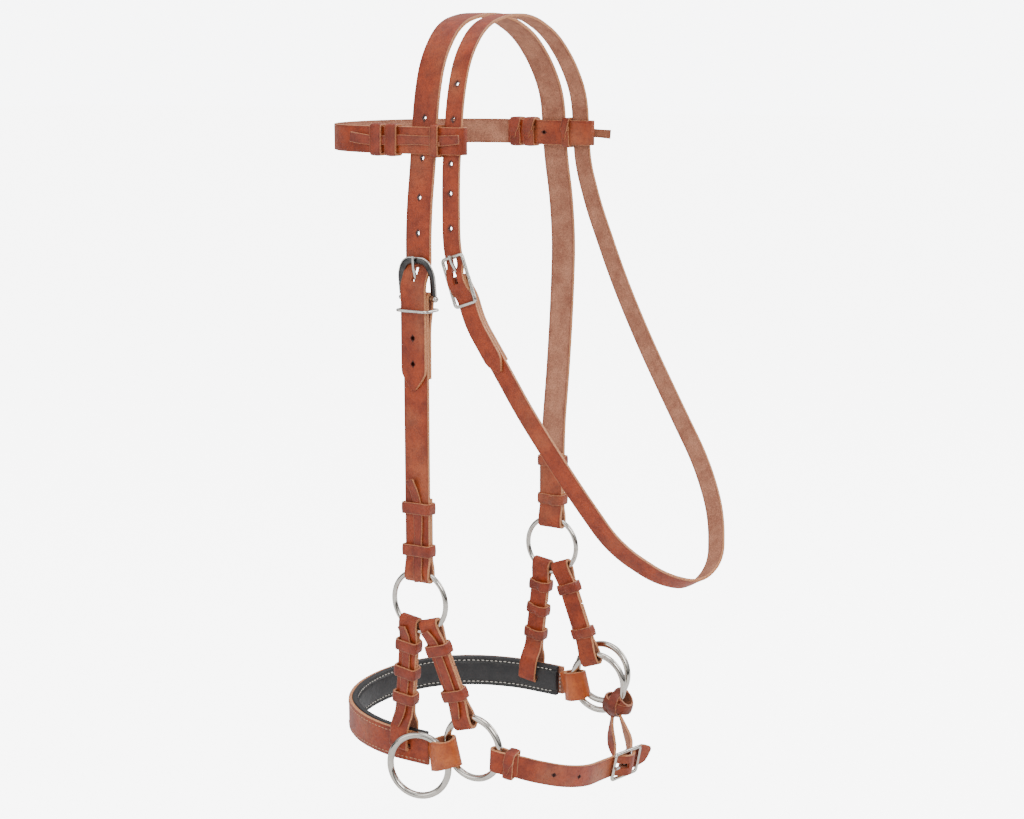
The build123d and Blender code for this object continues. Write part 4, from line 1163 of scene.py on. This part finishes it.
def makeBuckles():
    down = Vector(throatShape["down"]).normalized()
    out = Vector((1, 0, 0))
    makeWireBuckle("throatBuckle", "throat_buckle_frame", "headstall", throatShape["centre"],
                   down.cross(out), down, out, throatShape["long"], leather["throatWide"] + 1,
                   throatShape["wire"], throatShape["bar"])
    makeWireBuckle("chinBuckle", "chin_buckle_frame", "nose", chinShape["centre"],
                   chinTravel.cross(chinFace), chinTravel, chinFace, chinShape["long"],
                   leather["chinWide"] + 1.4, chinShape["wire"], chinShape["bar"])


keeperShape = {"inner": 98.8, "outer": 116.4, "half": 13.8, "height": -219.0, "bend": 3,
               "wire": 2.4}


def makeKeeper():
    inner, outer, half = keeperShape["inner"], keeperShape["outer"], keeperShape["half"]
    flat = [(inner, 0), (inner, half), (outer, half), (outer, -half), (inner, -half), (inner, 0)]
    points = [(px, py, keeperShape["height"]) for px, py in flat]
    bends = {corner: keeperShape["bend"] for corner in (1, 2, 3, 4)}
    route = makeRoute(points, (0, 0, 1), bends, run=2)
    keeper = layTube("cheekKeeper", route, keeperShape["wire"] / 2)
    place(keeper, "cheek_keeper_body", ["cheek_keeper"], wornNickel, smooth=60)


def dress(node, material):
    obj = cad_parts[node]
    obj.data.materials.clear()
    obj.data.materials.append(material)


makeRings()
makeCheekBuckle()
makeBuckles()
makeKeeper()
for node in ("cheek_buckle_bar", "cheek_buckle_tongue", "throat_buckle_tongue",
             "chin_buckle_tongue"):
    dress(node, wornNickel)
print("metal made")


studio = {"floorDrop": 0.06, "floorSize": 40.0, "air": 0.95, "low": 0.03, "paperGlow": 6.5,
          "backdrop": 7.5, "aim": (0, 0.03, -0.3),
          "lights": (("key", (1.5, 1.5, 1.1), 1.2, 24.0), ("fill", (2.0, -0.9, 0.2), 1.4, 10.0),
                     ("rimLight", (-1.4, 0.9, 0.6), 1.0, 16.0), ("top", (0.1, 0.0, 1.8), 1.6, 22.0))}


def addLight(name, at, size, power, aim):
    clearSelection()
    data = bpy.data.lights.new(name, 'AREA')
    data.energy = power
    data.shape = 'DISK'
    data.size = size
    light = bpy.data.objects.new(name, data)
    bpy.context.scene.collection.objects.link(light)
    light.location = at
    light.rotation_euler = (Vector(aim) - Vector(at)).to_track_quat('-Z', 'Y').to_euler()


def makeStudio():
    clearSelection()
    bpy.ops.mesh.primitive_plane_add(size=studio["floorSize"],
                                     location=(0, 0, cadBounds[0][2] - studio["floorDrop"]))
    floor = bpy.context.object
    floor.name = "floor"
    paper, tree, shader = newMaterial("paper")
    shader.inputs["Base Color"].default_value = (0.88, 0.88, 0.88, 1)
    shader.inputs["Roughness"].default_value = 0.9
    shader.inputs["Emission Color"].default_value = (1, 1, 1, 1)
    seen = addNode(tree, 'ShaderNodeLightPath')
    tree.links.new(rampOf(tree, seen.outputs["Is Camera Ray"], 0.0, 1.0, 0.0, studio["paperGlow"]),
                   shader.inputs["Emission Strength"])
    floor.data.materials.append(paper)
    # bright above, dark round the sides for the metal to show, and plain white behind
    world = bpy.data.worlds.new("softAir")
    bpy.context.scene.world = world
    world.use_nodes = True
    tree = world.node_tree
    back = tree.nodes["Background"]
    back.inputs[0].default_value = (0.98, 0.985, 1.0, 1)
    way = addNode(tree, 'ShaderNodeTexCoord')
    split = addNode(tree, 'ShaderNodeSeparateXYZ')
    tree.links.new(way.outputs["Generated"], split.inputs[0])
    dome = rampOf(tree, split.outputs[2], 0.05, 0.45, studio["low"], studio["air"])
    seen = addNode(tree, 'ShaderNodeLightPath')
    choice = addNode(tree, 'ShaderNodeMix')
    tree.links.new(seen.outputs["Is Camera Ray"], choice.inputs[0])
    tree.links.new(dome, choice.inputs[2])
    choice.inputs[3].default_value = studio["backdrop"]
    tree.links.new(choice.outputs[0], back.inputs[1])
    for name, at, size, power in studio["lights"]:
        addLight(name, at, size, power, studio["aim"])


cameraShape = {"at": (1.2509, 0.7996, -0.032), "back": (0.8332, 0.5206, 0.1864),
               "right": (-0.5299, 0.8480, 0.0), "lens": 64.6, "sensor": 36.0, "clip": 0.05}


def makeCamera():
    data = bpy.data.cameras.new("camera")
    data.lens = cameraShape["lens"]
    data.sensor_width = cameraShape["sensor"]
    data.clip_start = cameraShape["clip"]
    camera = bpy.data.objects.new("camera", data)
    bpy.context.scene.collection.objects.link(camera)
    camera.location = cameraShape["at"]
    back = Vector(cameraShape["back"]).normalized()
    right = Vector(cameraShape["right"]).normalized()
    up = back.cross(right)
    camera.rotation_euler = Matrix((right, up, back)).transposed().to_euler()
    bpy.context.scene.camera = camera


makeStudio()
makeCamera()
print("studio made")
